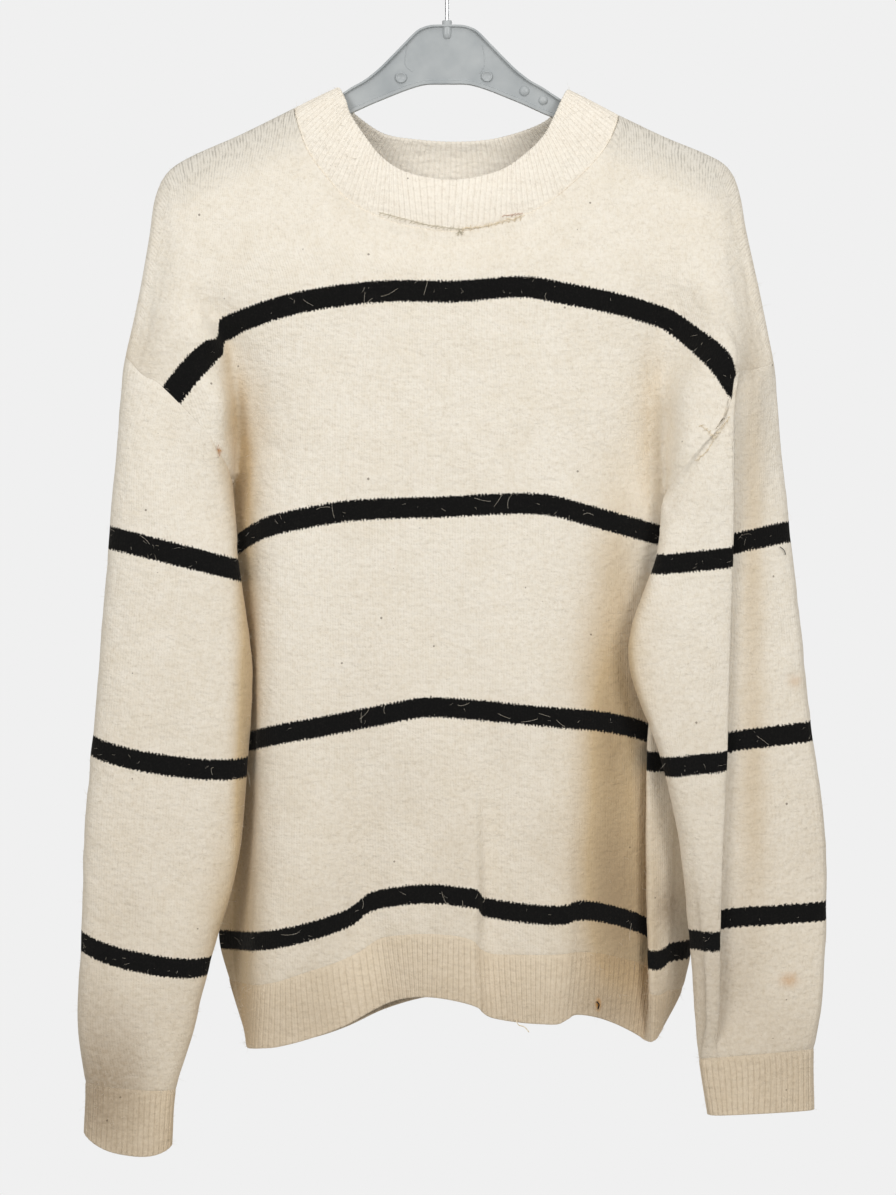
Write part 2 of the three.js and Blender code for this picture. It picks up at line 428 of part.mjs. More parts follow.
/** Shares 0 to 1 of the way along a run of points. */
function shares(points) {
  const lengths = points.slice(1).map((p, i) => p.distanceTo(points[i]));
  const total = lengths.reduce((sum, length) => sum + length, 0);
  let run = 0;
  return [0, ...lengths.map((length) => { run += length; return run / total; })];
}

// ---------------------------------------------------------------- body panels
const LEVELS = [...LEVELS_ABOVE_ARMHOLE, ...LEVELS_BELOW_ARMHOLE];
const UNDERARM_ROW = LEVELS_ABOVE_ARMHOLE.length - 1;
const BACK_ACROSS = ACROSS.filter((t) => !BACK_SKIPS.includes(t));

const frontGrid = courseGrid([...FRONT_ROWS, FRONT_HEM], [...LEVELS, HEM_LEVEL], ACROSS);
const backGrid = courseGrid([...BACK_ROWS, BACK_HEM], [...LEVELS, HEM_LEVEL], BACK_ACROSS);

/** Whether a point lies on the shoulder line or a side seam, where front and back meet. */
function meets(j, t) {
  const onShoulder = j === 0 && (t <= NECK_LEFT || t >= NECK_RIGHT);
  const onSide = j >= UNDERARM_ROW && Math.abs(t) === 1;
  return onShoulder || onSide;
}

// The back takes the front's side seams and shoulder line, so that their edges run together,
// and there both walls stand square to the plane between them.
const frontNormals = gridNormals(frontGrid, { facing: 1 });
backGrid.forEach((row, j) => row.forEach((p, i) => {
  if (meets(j, BACK_ACROSS[i])) p.copy(frontGrid[j][ACROSS.indexOf(BACK_ACROSS[i])]);
}));
const backNormals = gridNormals(backGrid, { facing: -1 });
frontNormals.forEach((row, j) => row.forEach((normal, i) => {
  if (!meets(j, ACROSS[i])) return;
  const twin = backNormals[j][BACK_ACROSS.indexOf(ACROSS[i])];
  if (twin) normal.add(twin);
  normal.y = 0;
  normal.normalize();
  if (twin) twin.copy(normal);
}));
const copyGrid = (grid) => grid.map((row) => row.map((p) => p.clone()));
const front = { grid: copyGrid(frontGrid), normals: frontNormals, across: ACROSS };
const back = { grid: copyGrid(backGrid), normals: backNormals, across: BACK_ACROSS };
for (const [grid, across, side] of [[frontGrid, ACROSS, -1], [backGrid, BACK_ACROSS, 1]]) {
  grid.forEach((row, j) => row.forEach((p, i) => {
    if (meets(j, across[i])) p.y += (side * RIDGE_GAP) / 2;
  }));
}

const BODY_ROWS = LEVELS.length;
const bodyWall = (grid, normals, facing) => (
  wall(grid.slice(0, BODY_ROWS), normals.slice(0, BODY_ROWS), CLOTH, { facing })
);

/** Hem rib: from the panel's last course, past the seam, down to the hem. */
function hemRib(grid, normals, facing) {
  const edge = grid[BODY_ROWS - 1];
  const hem = grid[BODY_ROWS];
  const middle = edge.map((p, i) => p.clone().lerp(hem[i], 0.5));
  const rib = [pastSeam(edge, hem, normals[BODY_ROWS - 1], false), middle, hem];
  const start = normals[BODY_ROWS - 1];
  const ribNormals = [pressed(start), start, normals[BODY_ROWS]];
  return wall(rib, ribNormals, CLOTH, { facing });
}

// ---------------------------------------------------------------- sleeves
/** Flattened tube section through two edges, 0 at the outer edge and 0.5 at the inner one. */
function flatSection({ outer, inner, sag, front: fore, back: rear }, share) {
  const squareness = 0.8;
  const angle = 2 * Math.PI * share;
  const [c, s] = [Math.cos(angle), Math.sin(angle)];
  const reach = (1 - Math.sign(c) * Math.abs(c) ** squareness) / 2;
  const swell = Math.abs(s) ** squareness;
  const [x, y, drop] = outer.map((value, k) => value + (inner[k] - value) * reach);
  return [x, s > 0 ? y - fore * swell : y + rear * swell, drop + sag * swell * swell];
}

/** Right sleeve section: the outer side passes behind the front side in a flat pleat. */
function pleatedSection(ring, share) {
  const { outer, inner, front: fore, fold, foldDrops, hidden } = ring;
  if (share >= 0.5) return flatSection({ ...ring, sag: 0 }, share);
  const towards = (k, f) => outer[k] + (inner[k] - outer[k]) * f;
  const foldShare = (outer[0] - fold) / (outer[0] - inner[0]);
  const faceY = towards(1, foldShare) - fore;
  const stack = Math.min(hidden, 8);
  const midX = (fold + inner[0]) / 2;
  const keys = [
    [0, outer[0], outer[1], outer[2]],
    [0.05, outer[0] - 5, outer[1] - 8 + stack * 0.3, outer[2] + 1],
    [0.12, (outer[0] + fold) / 2, (outer[1] - 8 + faceY + stack) / 2, (outer[2] + foldDrops[0]) / 2],
    [0.19, fold + 1, faceY + stack, foldDrops[0]],
    [0.235, fold - hidden, faceY + stack * 0.62, foldDrops[0] * 0.5 + foldDrops[1] * 0.5],
    [0.28, fold, faceY, foldDrops[1]],
    [0.38, midX, (faceY + inner[1] - 10) / 2 - 2, (foldDrops[1] + inner[2]) / 2 + 1],
    [0.46, inner[0] + 6, inner[1] - 8, inner[2] + 0.5],
    [0.5, inner[0], inner[1], inner[2]],
    [0.54, inner[0] + 6, inner[1] + 7, inner[2] + 0.5],
  ];
  return curve(keys, share);
}

/** Sleeve rings between the armhole edge and the cuff: shares round the tube, front first. */
function sleeveGrid(seam, rings, section, stations) {
  const rim = [];
  const rimNormals = [];
  const take = (panel, j) => {
    const column = panel.across.indexOf(seam);
    rim.push(panel.grid[j][column]);
    rimNormals.push(panel.normals[j][column]);
  };
  for (let j = 0; j <= UNDERARM_ROW; j += 1) take(front, j);
  for (let j = UNDERARM_ROW - 1; j > 0; j -= 1) take(back, j);
  const half = shares(rim.slice(0, UNDERARM_ROW + 1)).map((s) => s / 2);
  const rest = shares([...rim.slice(UNDERARM_ROW), rim[0]]).map((s) => 0.5 + s / 2);
  const around = [...half, ...rest.slice(1, -1)];
  const columns = around.map((share, i) => {
    const start = [0, rim[i].x, rim[i].y, SHOULDER_Z - rim[i].z];
    return [start, ...rings.map((ring) => [ring.knit, ...section(ring, share)])];
  });
  const grid = stations.map((knit) => columns.map((keys) => place(curve(keys, knit))));
  return { rim, rimNormals, grid };
}

/** Gives the back's wall the front's direction at the two ends of an armhole. */
function alignTwins(seam) {
  for (const j of [0, UNDERARM_ROW]) {
    back.normals[j][BACK_ACROSS.indexOf(seam)].copy(front.normals[j][ACROSS.indexOf(seam)]);
  }
}

/** Sleeve and cuff walls of one side. facing is +1 where the ring runs left to right in front. */
function sleeve(seam, rings, cuffEnd, section, facing) {
  const cuffStart = rings[rings.length - 1].knit;
  const inset = [0, 22, 50, 105, 150, 200, 256, 310, 360, 410, 460];
  const stations = [...inset, cuffStart, (cuffStart + cuffEnd.knit) / 2, cuffEnd.knit];
  const { rim, rimNormals, grid } = sleeveGrid(seam, [...rings, cuffEnd], section, stations);
  const normals = gridNormals(grid, { closed: true, facing });
  shareNormals(rimNormals, normals[0], [0, UNDERARM_ROW]);
  alignTwins(seam);
  grid[0] = pastSeam(rim, grid[1], rimNormals, true);
  normals[0] = pressed(rimNormals);
  const split = inset.length;
  const options = { closed: true, facing };
  const tube = wall(grid.slice(0, split + 1), normals.slice(0, split + 1), CLOTH, options);
  const cuffTop = pastSeam(grid[split], grid[split + 1], normals[split], true);
  const cuffGrid = [cuffTop, ...grid.slice(split + 1)];
  const cuffNormals = [pressed(normals[split]), ...normals.slice(split + 1)];
  const cuff = wall(cuffGrid, cuffNormals, CLOTH, options);
  return { tube, cuff };
}

const leftSleeve = sleeve(-1, LEFT_RINGS, LEFT_CUFF_END, flatSection, 1);
const rightSleeve = sleeve(1, RIGHT_RINGS, RIGHT_CUFF_END, pleatedSection, -1);

// ---------------------------------------------------------------- collar
/** Ring of rib from the neck seam up to its turned edge, standing out a little between them. */
function collar() {
  const seam = [];
  const seamNormals = [];
  const take = (panel, i) => {
    seam.push(panel.grid[0][i]);
    seamNormals.push(panel.normals[0][i]);
  };
  const neckOf = (panel) => [panel.across.indexOf(NECK_LEFT), panel.across.indexOf(NECK_RIGHT)];
  const [frontLeft, frontRight] = neckOf(front);
  const [backLeft, backRight] = neckOf(back);
  for (let i = frontLeft; i <= frontRight; i += 1) take(front, i);
  for (let i = backRight - 1; i > backLeft; i -= 1) take(back, i);
  const frontCount = frontRight - frontLeft;
  const frontShares = shares(seam.slice(0, frontCount + 1)).map((s) => s / 2);
  const backShares = shares([...seam.slice(frontCount), seam[0]]).map((s) => 0.5 + s / 2);
  const around = [...frontShares, ...backShares.slice(1, -1)];
  const top = around.map((share) => place(curve(COLLAR_TOP, share)));
  const rows = [0, 0.35, 0.7, 1].map((f) => seam.map((p, i) => {
    const out = new THREE.Vector3(0, around[i] < 0.5 ? -1 : 1, 0.6).normalize();
    const swell = COLLAR_SWELL * Math.sin(Math.PI * f);
    return p.clone().lerp(top[i], f).addScaledVector(out, swell);
  }));
  const normals = gridNormals(rows, { closed: true, facing: -1 });
  shareNormals(seamNormals, normals[0], [0, frontCount]);
  for (const [i, k] of [[frontLeft, backLeft], [frontRight, backRight]]) {
    back.normals[0][k].copy(front.normals[0][i]);
  }
  rows[0] = pastSeam(seam, rows[1], seamNormals, true);
  normals[0] = seamNormals.map((n) => n.clone().multiplyScalar((PRESSED * CLOTH) / COLLAR_CLOTH));
  return wall(rows, normals, COLLAR_CLOTH, { closed: true, facing: -1 });
}

// ---------------------------------------------------------------- hanger and hook
/** Solid for booleans from a closed geometry. */
function solid(geometry) {
  const bare = geometry.clone();
  bare.deleteAttribute('normal');
  bare.deleteAttribute('uv');
  const merged = mergeVertices(bare, 1e-4);
  const vertProperties = new Float32Array(merged.attributes.position.array);
  const triVerts = new Uint32Array(merged.index.array);
  return new wasm.Manifold(new wasm.Mesh({ numProp: 3, vertProperties, triVerts }));
}

/** Geometry of a solid that booleans made. */
function fromSolid(body) {
  const { vertProperties, triVerts } = body.getMesh();
  const geometry = new THREE.BufferGeometry();
  geometry.setAttribute('position', new THREE.Float32BufferAttribute(vertProperties, 3));
  geometry.setIndex([...triVerts]);
  return geometry;
}

// Half outline of the plate from its middle out to the arm's tip, [x, z].
const PLATE_TOP = [
  [0, -75.8], [13, -75.8], [26, -82.5], [34, -92], [46, -105.5], [60, -115.5], [74, -124.6],
  [80, -130.6], [104, -142.5], [126, -150.5], [150, -160.5], [172, -170.5], [190, -179], [199, -187],
];
const PLATE_BOTTOM = [
  [201, -195], [198, -201], [190, -200], [160, -185.5], [120, -167.5], [80, -144.2], [50, -132],
  [22, -120], [0, -118.8],
];

/** Plate outline, shrunk by an inset along its normals. */
function plateOutline(inset) {
  const right = [...PLATE_TOP, ...PLATE_BOTTOM];
  const left = right.slice(1, -1).reverse().map(([x, z]) => [-x, z]);
  const ring = [...right, ...left].map(([x, z]) => new THREE.Vector2(x, z));
  const n = ring.length;
  const points = ring.map((p, i) => {
    const before = p.clone().sub(ring[(i - 1 + n) % n]).normalize();
    const after = ring[(i + 1) % n].clone().sub(p).normalize();
    const inward = new THREE.Vector2(before.y + after.y, -before.x - after.x).normalize();
    const spread = Math.max(0.5, inward.dot(new THREE.Vector2(before.y, -before.x)));
    return p.clone().addScaledVector(inward, inset / spread);
  });
  return new THREE.Shape(points);
}

/** Plate of the given depth, centred on the hanger's plane. */
function plateSlab(inset, depth) {
  const slab = new THREE.ExtrudeGeometry(plateOutline(inset), { depth, bevelEnabled: false });
  slab.translate(0, 0, -depth / 2);
  slab.rotateX(Math.PI / 2);
  return slab;
}

/** Moulded plate with a rim round its web, four studs, and a bored boss for the wire. */
function hanger() {
  const recess = plateSlab(RIM_WIDTH, PLATE_RIM);
  const cut = (PLATE_RIM + PLATE_WEB) / 2;
  const frontCut = solid(recess.clone().translate(0, -cut, 0));
  const rearCut = solid(recess.clone().translate(0, cut, 0));
  let body = solid(plateSlab(0, PLATE_RIM)).subtract(frontCut).subtract(rearCut);
  for (const [x, z] of STUDS) {
    const stud = new THREE.CylinderGeometry(STUD_RADIUS - 1, STUD_RADIUS, PLATE_WEB + 3, 20);
    body = body.add(solid(stud.translate(x, 0, z)));
  }
  const boss = new THREE.CylinderGeometry(BOSS_RADIUS, BOSS_RADIUS, BOSS_HEIGHT, 8);
  boss.rotateY(Math.PI / 8).rotateX(Math.PI / 2).translate(0, 0, BOSS_TOP - BOSS_HEIGHT / 2);
  const boreRadius = WIRE_RADIUS + BORE_PLAY;
  const bore = new THREE.CylinderGeometry(boreRadius, boreRadius, 2 * BORE_DEPTH, 16);
  bore.rotateX(Math.PI / 2).translate(0, 0, BOSS_TOP);
  return fromSolid(body.add(solid(boss)).subtract(solid(bore)));
}

/** Wire hook: a straight stem, a swan neck, and the bow that hangs on the rail. */
function hook() {
  const centre = WIRE_RADIUS - HOOK_RADIUS;
  const bowPoint = (angle) => new THREE.Vector3(
    HOOK_RADIUS * Math.cos(angle), 0, centre + HOOK_RADIUS * Math.sin(angle)
  );
  const bowWay = (angle, pull) => (
    new THREE.Vector3(Math.sin(angle), 0, -Math.cos(angle)).multiplyScalar(pull)
  );
  const path = new THREE.CurvePath();
  const stemTop = new THREE.Vector3(0, 0, STEM_TOP);
  path.add(new THREE.LineCurve3(new THREE.Vector3(0, 0, BOSS_TOP - STEM_SUNK), stemTop));
  const bowFoot = bowPoint(HOOK_START);
  const stemPull = new THREE.Vector3(0, 0, 10);
  path.add(new THREE.CubicBezierCurve3(
    stemTop, stemTop.clone().add(stemPull), bowFoot.clone().sub(bowWay(HOOK_START, 11)), bowFoot
  ));
  const arcs = 9;
  const sweep = (2 * Math.PI - (HOOK_END - HOOK_START)) / arcs;
  const pull = (HOOK_RADIUS * 4 * Math.tan(sweep / 4)) / 3;
  for (let k = 0; k < arcs; k += 1) {
    const [a, b] = [HOOK_START - sweep * k, HOOK_START - sweep * (k + 1)];
    path.add(new THREE.CubicBezierCurve3(
      bowPoint(a), bowPoint(a).add(bowWay(a, pull)), bowPoint(b).sub(bowWay(b, pull)), bowPoint(b)
    ));
  }
  const section = new THREE.Shape();
  section.absarc(0, 0, WIRE_RADIUS, 0, 2 * Math.PI);
  return new THREE.ExtrudeGeometry(section, {
    extrudePath: path, steps: WIRE_STEPS, curveSegments: 5, bevelEnabled: false,
  });
}

// ---------------------------------------------------------------- assembly
const wool = { color: 0xe6dccb, roughness: 0.95, metalness: 0 };
const rib = { color: 0xe0d0b8, roughness: 0.95, metalness: 0 };
const plastic = { color: 0xafb3b4, roughness: 0.45, metalness: 0 };
const steel = { color: 0xb4b6b8, roughness: 0.3, metalness: 1 };

const sweater = new THREE.Group();
function addPiece(name, geometry, finish) {
  const mesh = new THREE.Mesh(geometry, new THREE.MeshStandardMaterial(finish));
  mesh.name = name;
  sweater.add(mesh);
}

const collarRing = collar();

addPiece('body_front', bodyWall(frontGrid, frontNormals, 1), wool);
addPiece('body_back', bodyWall(backGrid, backNormals, -1), wool);
addPiece('sleeve_left', leftSleeve.tube, wool);
addPiece('sleeve_right', rightSleeve.tube, wool);
addPiece('neck_rib', collarRing, rib);
addPiece('hem_rib_front', hemRib(frontGrid, frontNormals, 1), rib);
addPiece('hem_rib_back', hemRib(backGrid, backNormals, -1), rib);
addPiece('cuff_left', leftSleeve.cuff, rib);
addPiece('cuff_right', rightSleeve.cuff, rib);
addPiece('hanger', hanger(), plastic);
addPiece('hook', hook(), steel);

export default sweater;
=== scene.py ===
"""Worn off-white wool sweater with black stripes and a darned neck, on a grey plastic hanger.

The scene is in metres and the tables are in millimetres. +Z is up, +X is to the right as seen
from the front, the front of the sweater faces -Y, and the origin is the inner top of the hook.

A body panel is a surface of two parameters: across, from -1 at its left seam to +1 at its right
seam, and level, the knitted distance in millimetres below the shoulder line. A sleeve is a tube
of two parameters: the share of the way round from its outer edge over the front, and the
knitted distance below the armhole. A collar is a ring between the neck seam and its turned edge.
"""

import logging
import math
from dataclasses import dataclass, field
from enum import Enum
from typing import Any, Callable, Sequence

import bpy
import numpy as np
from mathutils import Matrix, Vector

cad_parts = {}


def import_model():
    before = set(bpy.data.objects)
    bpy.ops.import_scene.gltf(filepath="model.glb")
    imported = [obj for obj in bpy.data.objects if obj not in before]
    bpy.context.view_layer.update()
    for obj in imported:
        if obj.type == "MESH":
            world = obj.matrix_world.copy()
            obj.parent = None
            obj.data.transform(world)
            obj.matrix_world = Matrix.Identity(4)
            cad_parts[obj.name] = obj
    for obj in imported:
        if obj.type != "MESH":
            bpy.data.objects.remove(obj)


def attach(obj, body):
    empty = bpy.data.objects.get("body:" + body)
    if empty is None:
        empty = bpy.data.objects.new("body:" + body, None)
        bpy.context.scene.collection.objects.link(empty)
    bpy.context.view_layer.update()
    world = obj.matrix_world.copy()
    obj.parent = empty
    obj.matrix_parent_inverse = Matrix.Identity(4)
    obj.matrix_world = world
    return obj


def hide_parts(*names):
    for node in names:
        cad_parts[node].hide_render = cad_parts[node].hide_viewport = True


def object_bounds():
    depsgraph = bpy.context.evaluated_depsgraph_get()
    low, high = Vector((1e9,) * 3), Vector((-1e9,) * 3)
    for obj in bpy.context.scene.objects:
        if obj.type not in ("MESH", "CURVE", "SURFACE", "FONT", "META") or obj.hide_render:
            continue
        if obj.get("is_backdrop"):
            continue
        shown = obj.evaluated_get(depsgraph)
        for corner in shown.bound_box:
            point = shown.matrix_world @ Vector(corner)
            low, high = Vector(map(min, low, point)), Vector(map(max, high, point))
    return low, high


log = logging.getLogger("sweater")

Array = np.ndarray
MM = 0.001
SHOULDER_Z = -122.6  # top of the shoulders below the hook's inner top
NECK_LEFT = -0.356  # across position of the left neck point
NECK_RIGHT = 0.371  # across position of the right neck point
UNDERARM = 270.0  # level of the underarm point
RIB_LEVEL = 636.0  # level of the hem rib's seam
HEM_LEVEL = 682.0  # level of the hem
WALE = 2.05  # width of one column of stitches
RIB = 4.1  # width of one rib, two stitches
LUMP = 6.4  # width of the felted knit's smallest lumps
HALF_BODY = 215.0  # half the flat width of the body below the underarm
RIB_FACETS = 8  # facets across one rib
RIB_ROW = 2.9  # height of a facet of the hem and the cuffs

# ------------------------------------------------------------------ courses of the body
# Keys of each course: [across, x, y, drop]
SHOULDER_LEFT = (
    (-1, -235.6, -12, 197), (-0.86, -226, -7, 152), (-0.76, -218.5, -3, 108), (-0.705, -214.5, 0, 80),
    (-0.665, -206.5, 0, 62.5), (-0.61, -191, 0, 51), (-0.48, -151, 0, 33), (NECK_LEFT, -112.3, 0, 13.9),
)
SHOULDER_RIGHT = (
    (NECK_RIGHT, 126.2, 0, 19.1), (0.48, 158.5, 0, 34.5), (0.61, 199, 0, 52), (0.66, 210, 0, 63),
    (0.7, 215.5, 0, 79), (0.76, 219.5, -2, 103), (0.87, 229.5, -6, 150), (1, 239.3, -10, 200.4),
)
FRONT_COURSES = {
    0: (
        *SHOULDER_LEFT, (NECK_LEFT, -112.3, 0, 13.9), (-0.342, -110.8, -7, 21), (-0.31, -103, -12, 44),
        (-0.265, -88.8, -16, 64.6), (-0.215, -71.9, -19, 82.9), (-0.14, -47, -21, 96.2),
        (-0.064, -21.3, -22, 103.5), (0.026, 8.8, -22.5, 105.7), (0.112, 37.4, -22, 99.8),
        (0.205, 68.3, -20, 88.1), (0.288, 96.2, -16, 66.1), (0.335, 116.7, -11, 42.6), (0.36, 124.5, -6, 26),
        (NECK_RIGHT, 126.2, 0, 19.1), *SHOULDER_RIGHT,
    ),
    8: (
        (-1, -231.5, -21, 201), (-0.86, -219, -17, 155), (-0.76, -211, -11.5, 110), (-0.705, -206.5, -9, 84),
        (-0.665, -200, -8.5, 71), (-0.61, -187, -8.5, 60), (-0.48, -148, -8.5, 41.5),
        (NECK_LEFT, -114, -9.5, 27), (-0.31, -108, -14, 50), (-0.265, -94, -17.5, 71),
        (-0.215, -76, -20, 90), (-0.14, -49, -22, 104), (-0.064, -22, -23, 111.5),
        (0.026, 8.8, -23.5, 113.7), (0.112, 39, -23, 107.5), (0.205, 72, -21, 95), (0.288, 102, -18, 71.5),
        (0.335, 122, -13, 48.5), (NECK_RIGHT, 128.5, -9.5, 32), (0.48, 156, -8.5, 43), (0.61, 195, -8.5, 61),
        (0.66, 203.5, -8.5, 71), (0.7, 207.5, -9, 84), (0.76, 212, -10.5, 105), (0.87, 222.5, -15, 153),
        (1, 235.5, -19, 203.5),
    ),
    70: (
        (-1, -222, -27, 211), (-0.86, -205, -31, 178), (-0.76, -190, -28, 148), (-0.66, -176, -25, 127),
        (-0.56, -160, -23, 112), (-0.45, -136, -23, 101), (-0.36, -111, -23, 97), (-0.265, -86, -25, 106),
        (-0.14, -46, -28, 121), (0, 0, -30, 126), (0.15, 46, -29, 120), (0.25, 78, -27, 112),
        (0.36, 111, -24, 103), (0.46, 140, -22, 105), (0.56, 163, -22, 115), (0.66, 181, -26, 131),
        (0.76, 196, -33, 152), (0.87, 211, -35, 182), (1, 224, -27, 207),
    ),
    142: (
        (-1, -207, -31, 220.2), (-0.9, -191, -34, 200.5), (-0.82, -176, -33.5, 187),
        (-0.79, -170.5, -30, 183.5), (-0.755, -168.5, -19.5, 172.5), (-0.71, -161, -21, 167),
        (-0.65, -149.7, -26, 162.2), (-0.52, -121.1, -31, 152.7), (-0.35, -81.5, -33.5, 145.3),
        (-0.18, -41.8, -35, 141.7), (0.02, 5.9, -35.5, 142.2), (0.24, 57.3, -34.5, 138.9),
        (0.35, 85.1, -33.5, 143.1), (0.51, 126.2, -30, 151.2), (0.62, 153, -23, 158.5),
        (0.67, 166.6, -21, 163.6), (0.74, 183.5, -32, 177.6), (0.81, 196.7, -41, 188.6),
        (0.87, 204.8, -44.5, 197.4), (0.94, 208.2, -45, 205.5), (1, 209.5, -43.5, 213),
    ),
    184: (
        (-1, -178, -34, 250), (-0.92, -165.5, -33, 232), (-0.885, -161.5, -26, 226), (-0.84, -159, -14, 220),
        (-0.79, -155, -10, 214), (-0.73, -147, -16, 208), (-0.62, -129, -26, 200), (-0.5, -108, -31, 194),
        (-0.3, -66, -34.5, 188), (0, 0, -36.5, 185), (0.3, 66, -35, 184), (0.48, 106, -32, 192),
        (0.6, 133, -26, 198), (0.68, 150, -17, 203), (0.735, 160, -13, 207), (0.78, 165, -20, 214),
        (0.83, 172, -35, 222), (0.9, 184, -44, 232), (1, 203, -48, 242),
    ),
    220: (
        (-1, -166.5, -30, 266), (-0.96, -160.5, -22, 264), (-0.91, -157, -10, 260), (-0.86, -154.5, -3, 256),
        (-0.8, -150, -4, 250), (-0.72, -142, -12, 243), (-0.62, -126, -24, 236), (-0.5, -106, -31, 229),
        (-0.3, -65, -35, 223), (0, 0, -37.5, 220), (0.3, 65, -36, 219), (0.48, 104, -32.5, 227),
        (0.6, 131, -25, 233), (0.68, 148, -15, 238), (0.75, 158, -9, 243), (0.81, 163, -14, 250),
        (0.86, 165.5, -28, 256), (0.92, 171, -42, 261), (1, 185, -48, 263),
    ),
    245: (
        (-1, -159.5, -17, 279), (-0.95, -156.5, -8, 277), (-0.9, -154.5, -2, 274), (-0.83, -149, -3, 269),
        (-0.75, -141.5, -12, 262), (-0.63, -126, -24, 256), (-0.5, -104, -31.5, 250),
        (-0.3, -64, -35.5, 244), (0, 0, -38, 241.5), (0.3, 65, -36.5, 241), (0.48, 104, -32, 249),
        (0.6, 130, -23, 255), (0.68, 145, -14, 259), (0.77, 156, -6, 265), (0.84, 160, -9, 271),
        (0.9, 162.5, -22, 275), (0.95, 165, -36, 277), (1, 172, -44, 278),
    ),
    258: (
        (-1, -158.5, -8, 284.5), (-0.94, -155.5, -4, 282.5), (-0.88, -152, -3, 280), (-0.8, -146, -8, 275.5),
        (-0.7, -134.5, -18, 269), (-0.5, -103, -32, 259), (-0.3, -63.5, -35.8, 253), (0, 0, -38.2, 250.5),
        (0.3, 64.5, -36.8, 251), (0.5, 107, -31, 260.5), (0.62, 131.5, -22.5, 266.5),
        (0.71, 146.5, -14, 271), (0.8, 156.5, -8, 276.5), (0.87, 160.5, -8.5, 281),
        (0.92, 161.8, -15, 284.5), (0.96, 161.8, -24, 287.5), (1, 162, -33, 290.5),
    ),
    UNDERARM: (
        (-1, -158, 2, 289), (-0.93, -154.5, 0, 287), (-0.85, -149, -5, 284), (-0.76, -141, -14, 279),
        (-0.65, -126, -24, 274), (-0.5, -102, -32, 268), (-0.3, -63, -36, 262), (0, 0, -38.5, 259.5),
        (0.3, 64, -37, 261), (0.5, 106, -31, 270), (0.63, 133, -22, 277), (0.73, 148, -14, 282),
        (0.83, 156, -9, 287), (0.92, 160, -10, 290), (1, 161.5, -20, 294.5),
    ),
    300: (
        (-1, -164, 13, 331), (-0.86, -154, -3, 326.5), (-0.76, -143.5, -16, 320), (-0.65, -129, -27, 313.5),
        (-0.5, -103, -34, 307.5), (-0.34, -72, -36.5, 302.5), (-0.17, -36, -38, 300.5), (0, 0, -39, 299.5),
        (0.17, 36, -39, 297.5), (0.34, 72, -38, 298), (0.5, 104, -34, 306), (0.64, 130, -29, 313),
        (0.75, 146, -24, 317.5), (0.84, 156, -19, 320), (0.92, 162, -13, 322), (1, 165, 2, 324),
    ),
    450: (
        (-1, -165, 22, 475), (-0.88, -150, 5, 473), (-0.78, -140.5, -14, 471.5), (-0.7, -136, -27, 470),
        (-0.6, -121, -36, 466.5), (-0.42, -86, -38, 460.2), (-0.22, -45, -40, 452), (-0.08, -16, -41, 447),
        (0.08, 16, -41.5, 448.5), (0.26, 53.6, -42, 452.1), (0.42, 86, -40, 455), (0.55, 112.3, -34, 457.3),
        (0.65, 131, -24, 461), (0.72, 143, -15.5, 464.6), (0.765, 150.5, -7.5, 469), (0.8, 153, -6.5, 474),
        (0.835, 149, -14, 481), (0.865, 146, -22, 485.5), (0.895, 148, -25, 486.6), (0.94, 156, -21, 487.3),
        (1, 167, -12, 487),
    ),
    600: (
        (-1, -168.8, 26, 621.7), (-0.88, -154, 7, 621.2), (-0.77, -144.5, -13, 620.6),
        (-0.72, -141, -20.5, 620.3), (-0.66, -133.5, -28, 619.4), (-0.6, -123, -33.5, 617.5),
        (-0.5, -102.8, -37, 612.9), (-0.38, -77, -32, 604.8), (-0.33, -67, -28, 599.5),
        (-0.285, -57.5, -27, 591.6), (-0.19, -37.4, -33, 586.5), (-0.06, -11, -39, 584.3),
        (0.05, 12, -41.5, 586.5), (0.1, 22.8, -41, 588.7), (0.13, 26, -35, 593.8), (0.17, 33, -33, 595.5),
        (0.25, 50, -38, 597.8), (0.37, 73.4, -44, 599.7), (0.44, 88, -45, 598.9), (0.47, 93, -42, 596.7),
        (0.54, 106.4, -36, 597), (0.64, 126.2, -25, 601.9), (0.71, 140, -15, 607), (0.755, 148.5, -7, 612),
        (0.79, 152, -6.5, 619), (0.825, 149, -14, 627), (0.86, 146.2, -22, 632), (0.89, 149, -25.5, 633.4),
        (0.94, 156, -21, 633.4), (1, 163, -16, 628.5),
    ),
    RIB_LEVEL: (
        (-1, -161, 24, 655), (-0.86, -152, 4, 656), (-0.76, -144.5, -14, 656.5), (-0.71, -141, -20, 656.5),
        (-0.66, -134.5, -26, 655.5), (-0.6, -123, -31.5, 653), (-0.5, -104, -35, 646.5),
        (-0.38, -79, -31, 638.5), (-0.32, -63, -27, 631), (-0.26, -50, -27, 622.4), (-0.18, -35, -32, 619.3),
        (-0.06, -11, -38, 618), (0.05, 11, -41, 620), (0.09, 20, -41, 623.5), (0.125, 25.5, -35, 629.5),
        (0.17, 33, -33, 632.7), (0.25, 50, -38, 632.9), (0.37, 73.4, -44, 632.7), (0.44, 88.5, -45, 631.8),
        (0.47, 93.5, -42, 631), (0.54, 106.4, -36, 631.5), (0.64, 125, -26, 635.5), (0.71, 139, -16, 640),
        (0.755, 147, -8.5, 645), (0.79, 151, -7.5, 651), (0.825, 149, -14, 657), (0.86, 147, -21, 661.5),
        (0.89, 149.5, -24.5, 663), (0.94, 155.5, -21, 663.5), (1, 161, -15, 661),
    ),
    HEM_LEVEL: (
        (-1, -148, 20, 697), (-0.86, -147.5, 4, 701.5), (-0.76, -146, -10, 702.4),
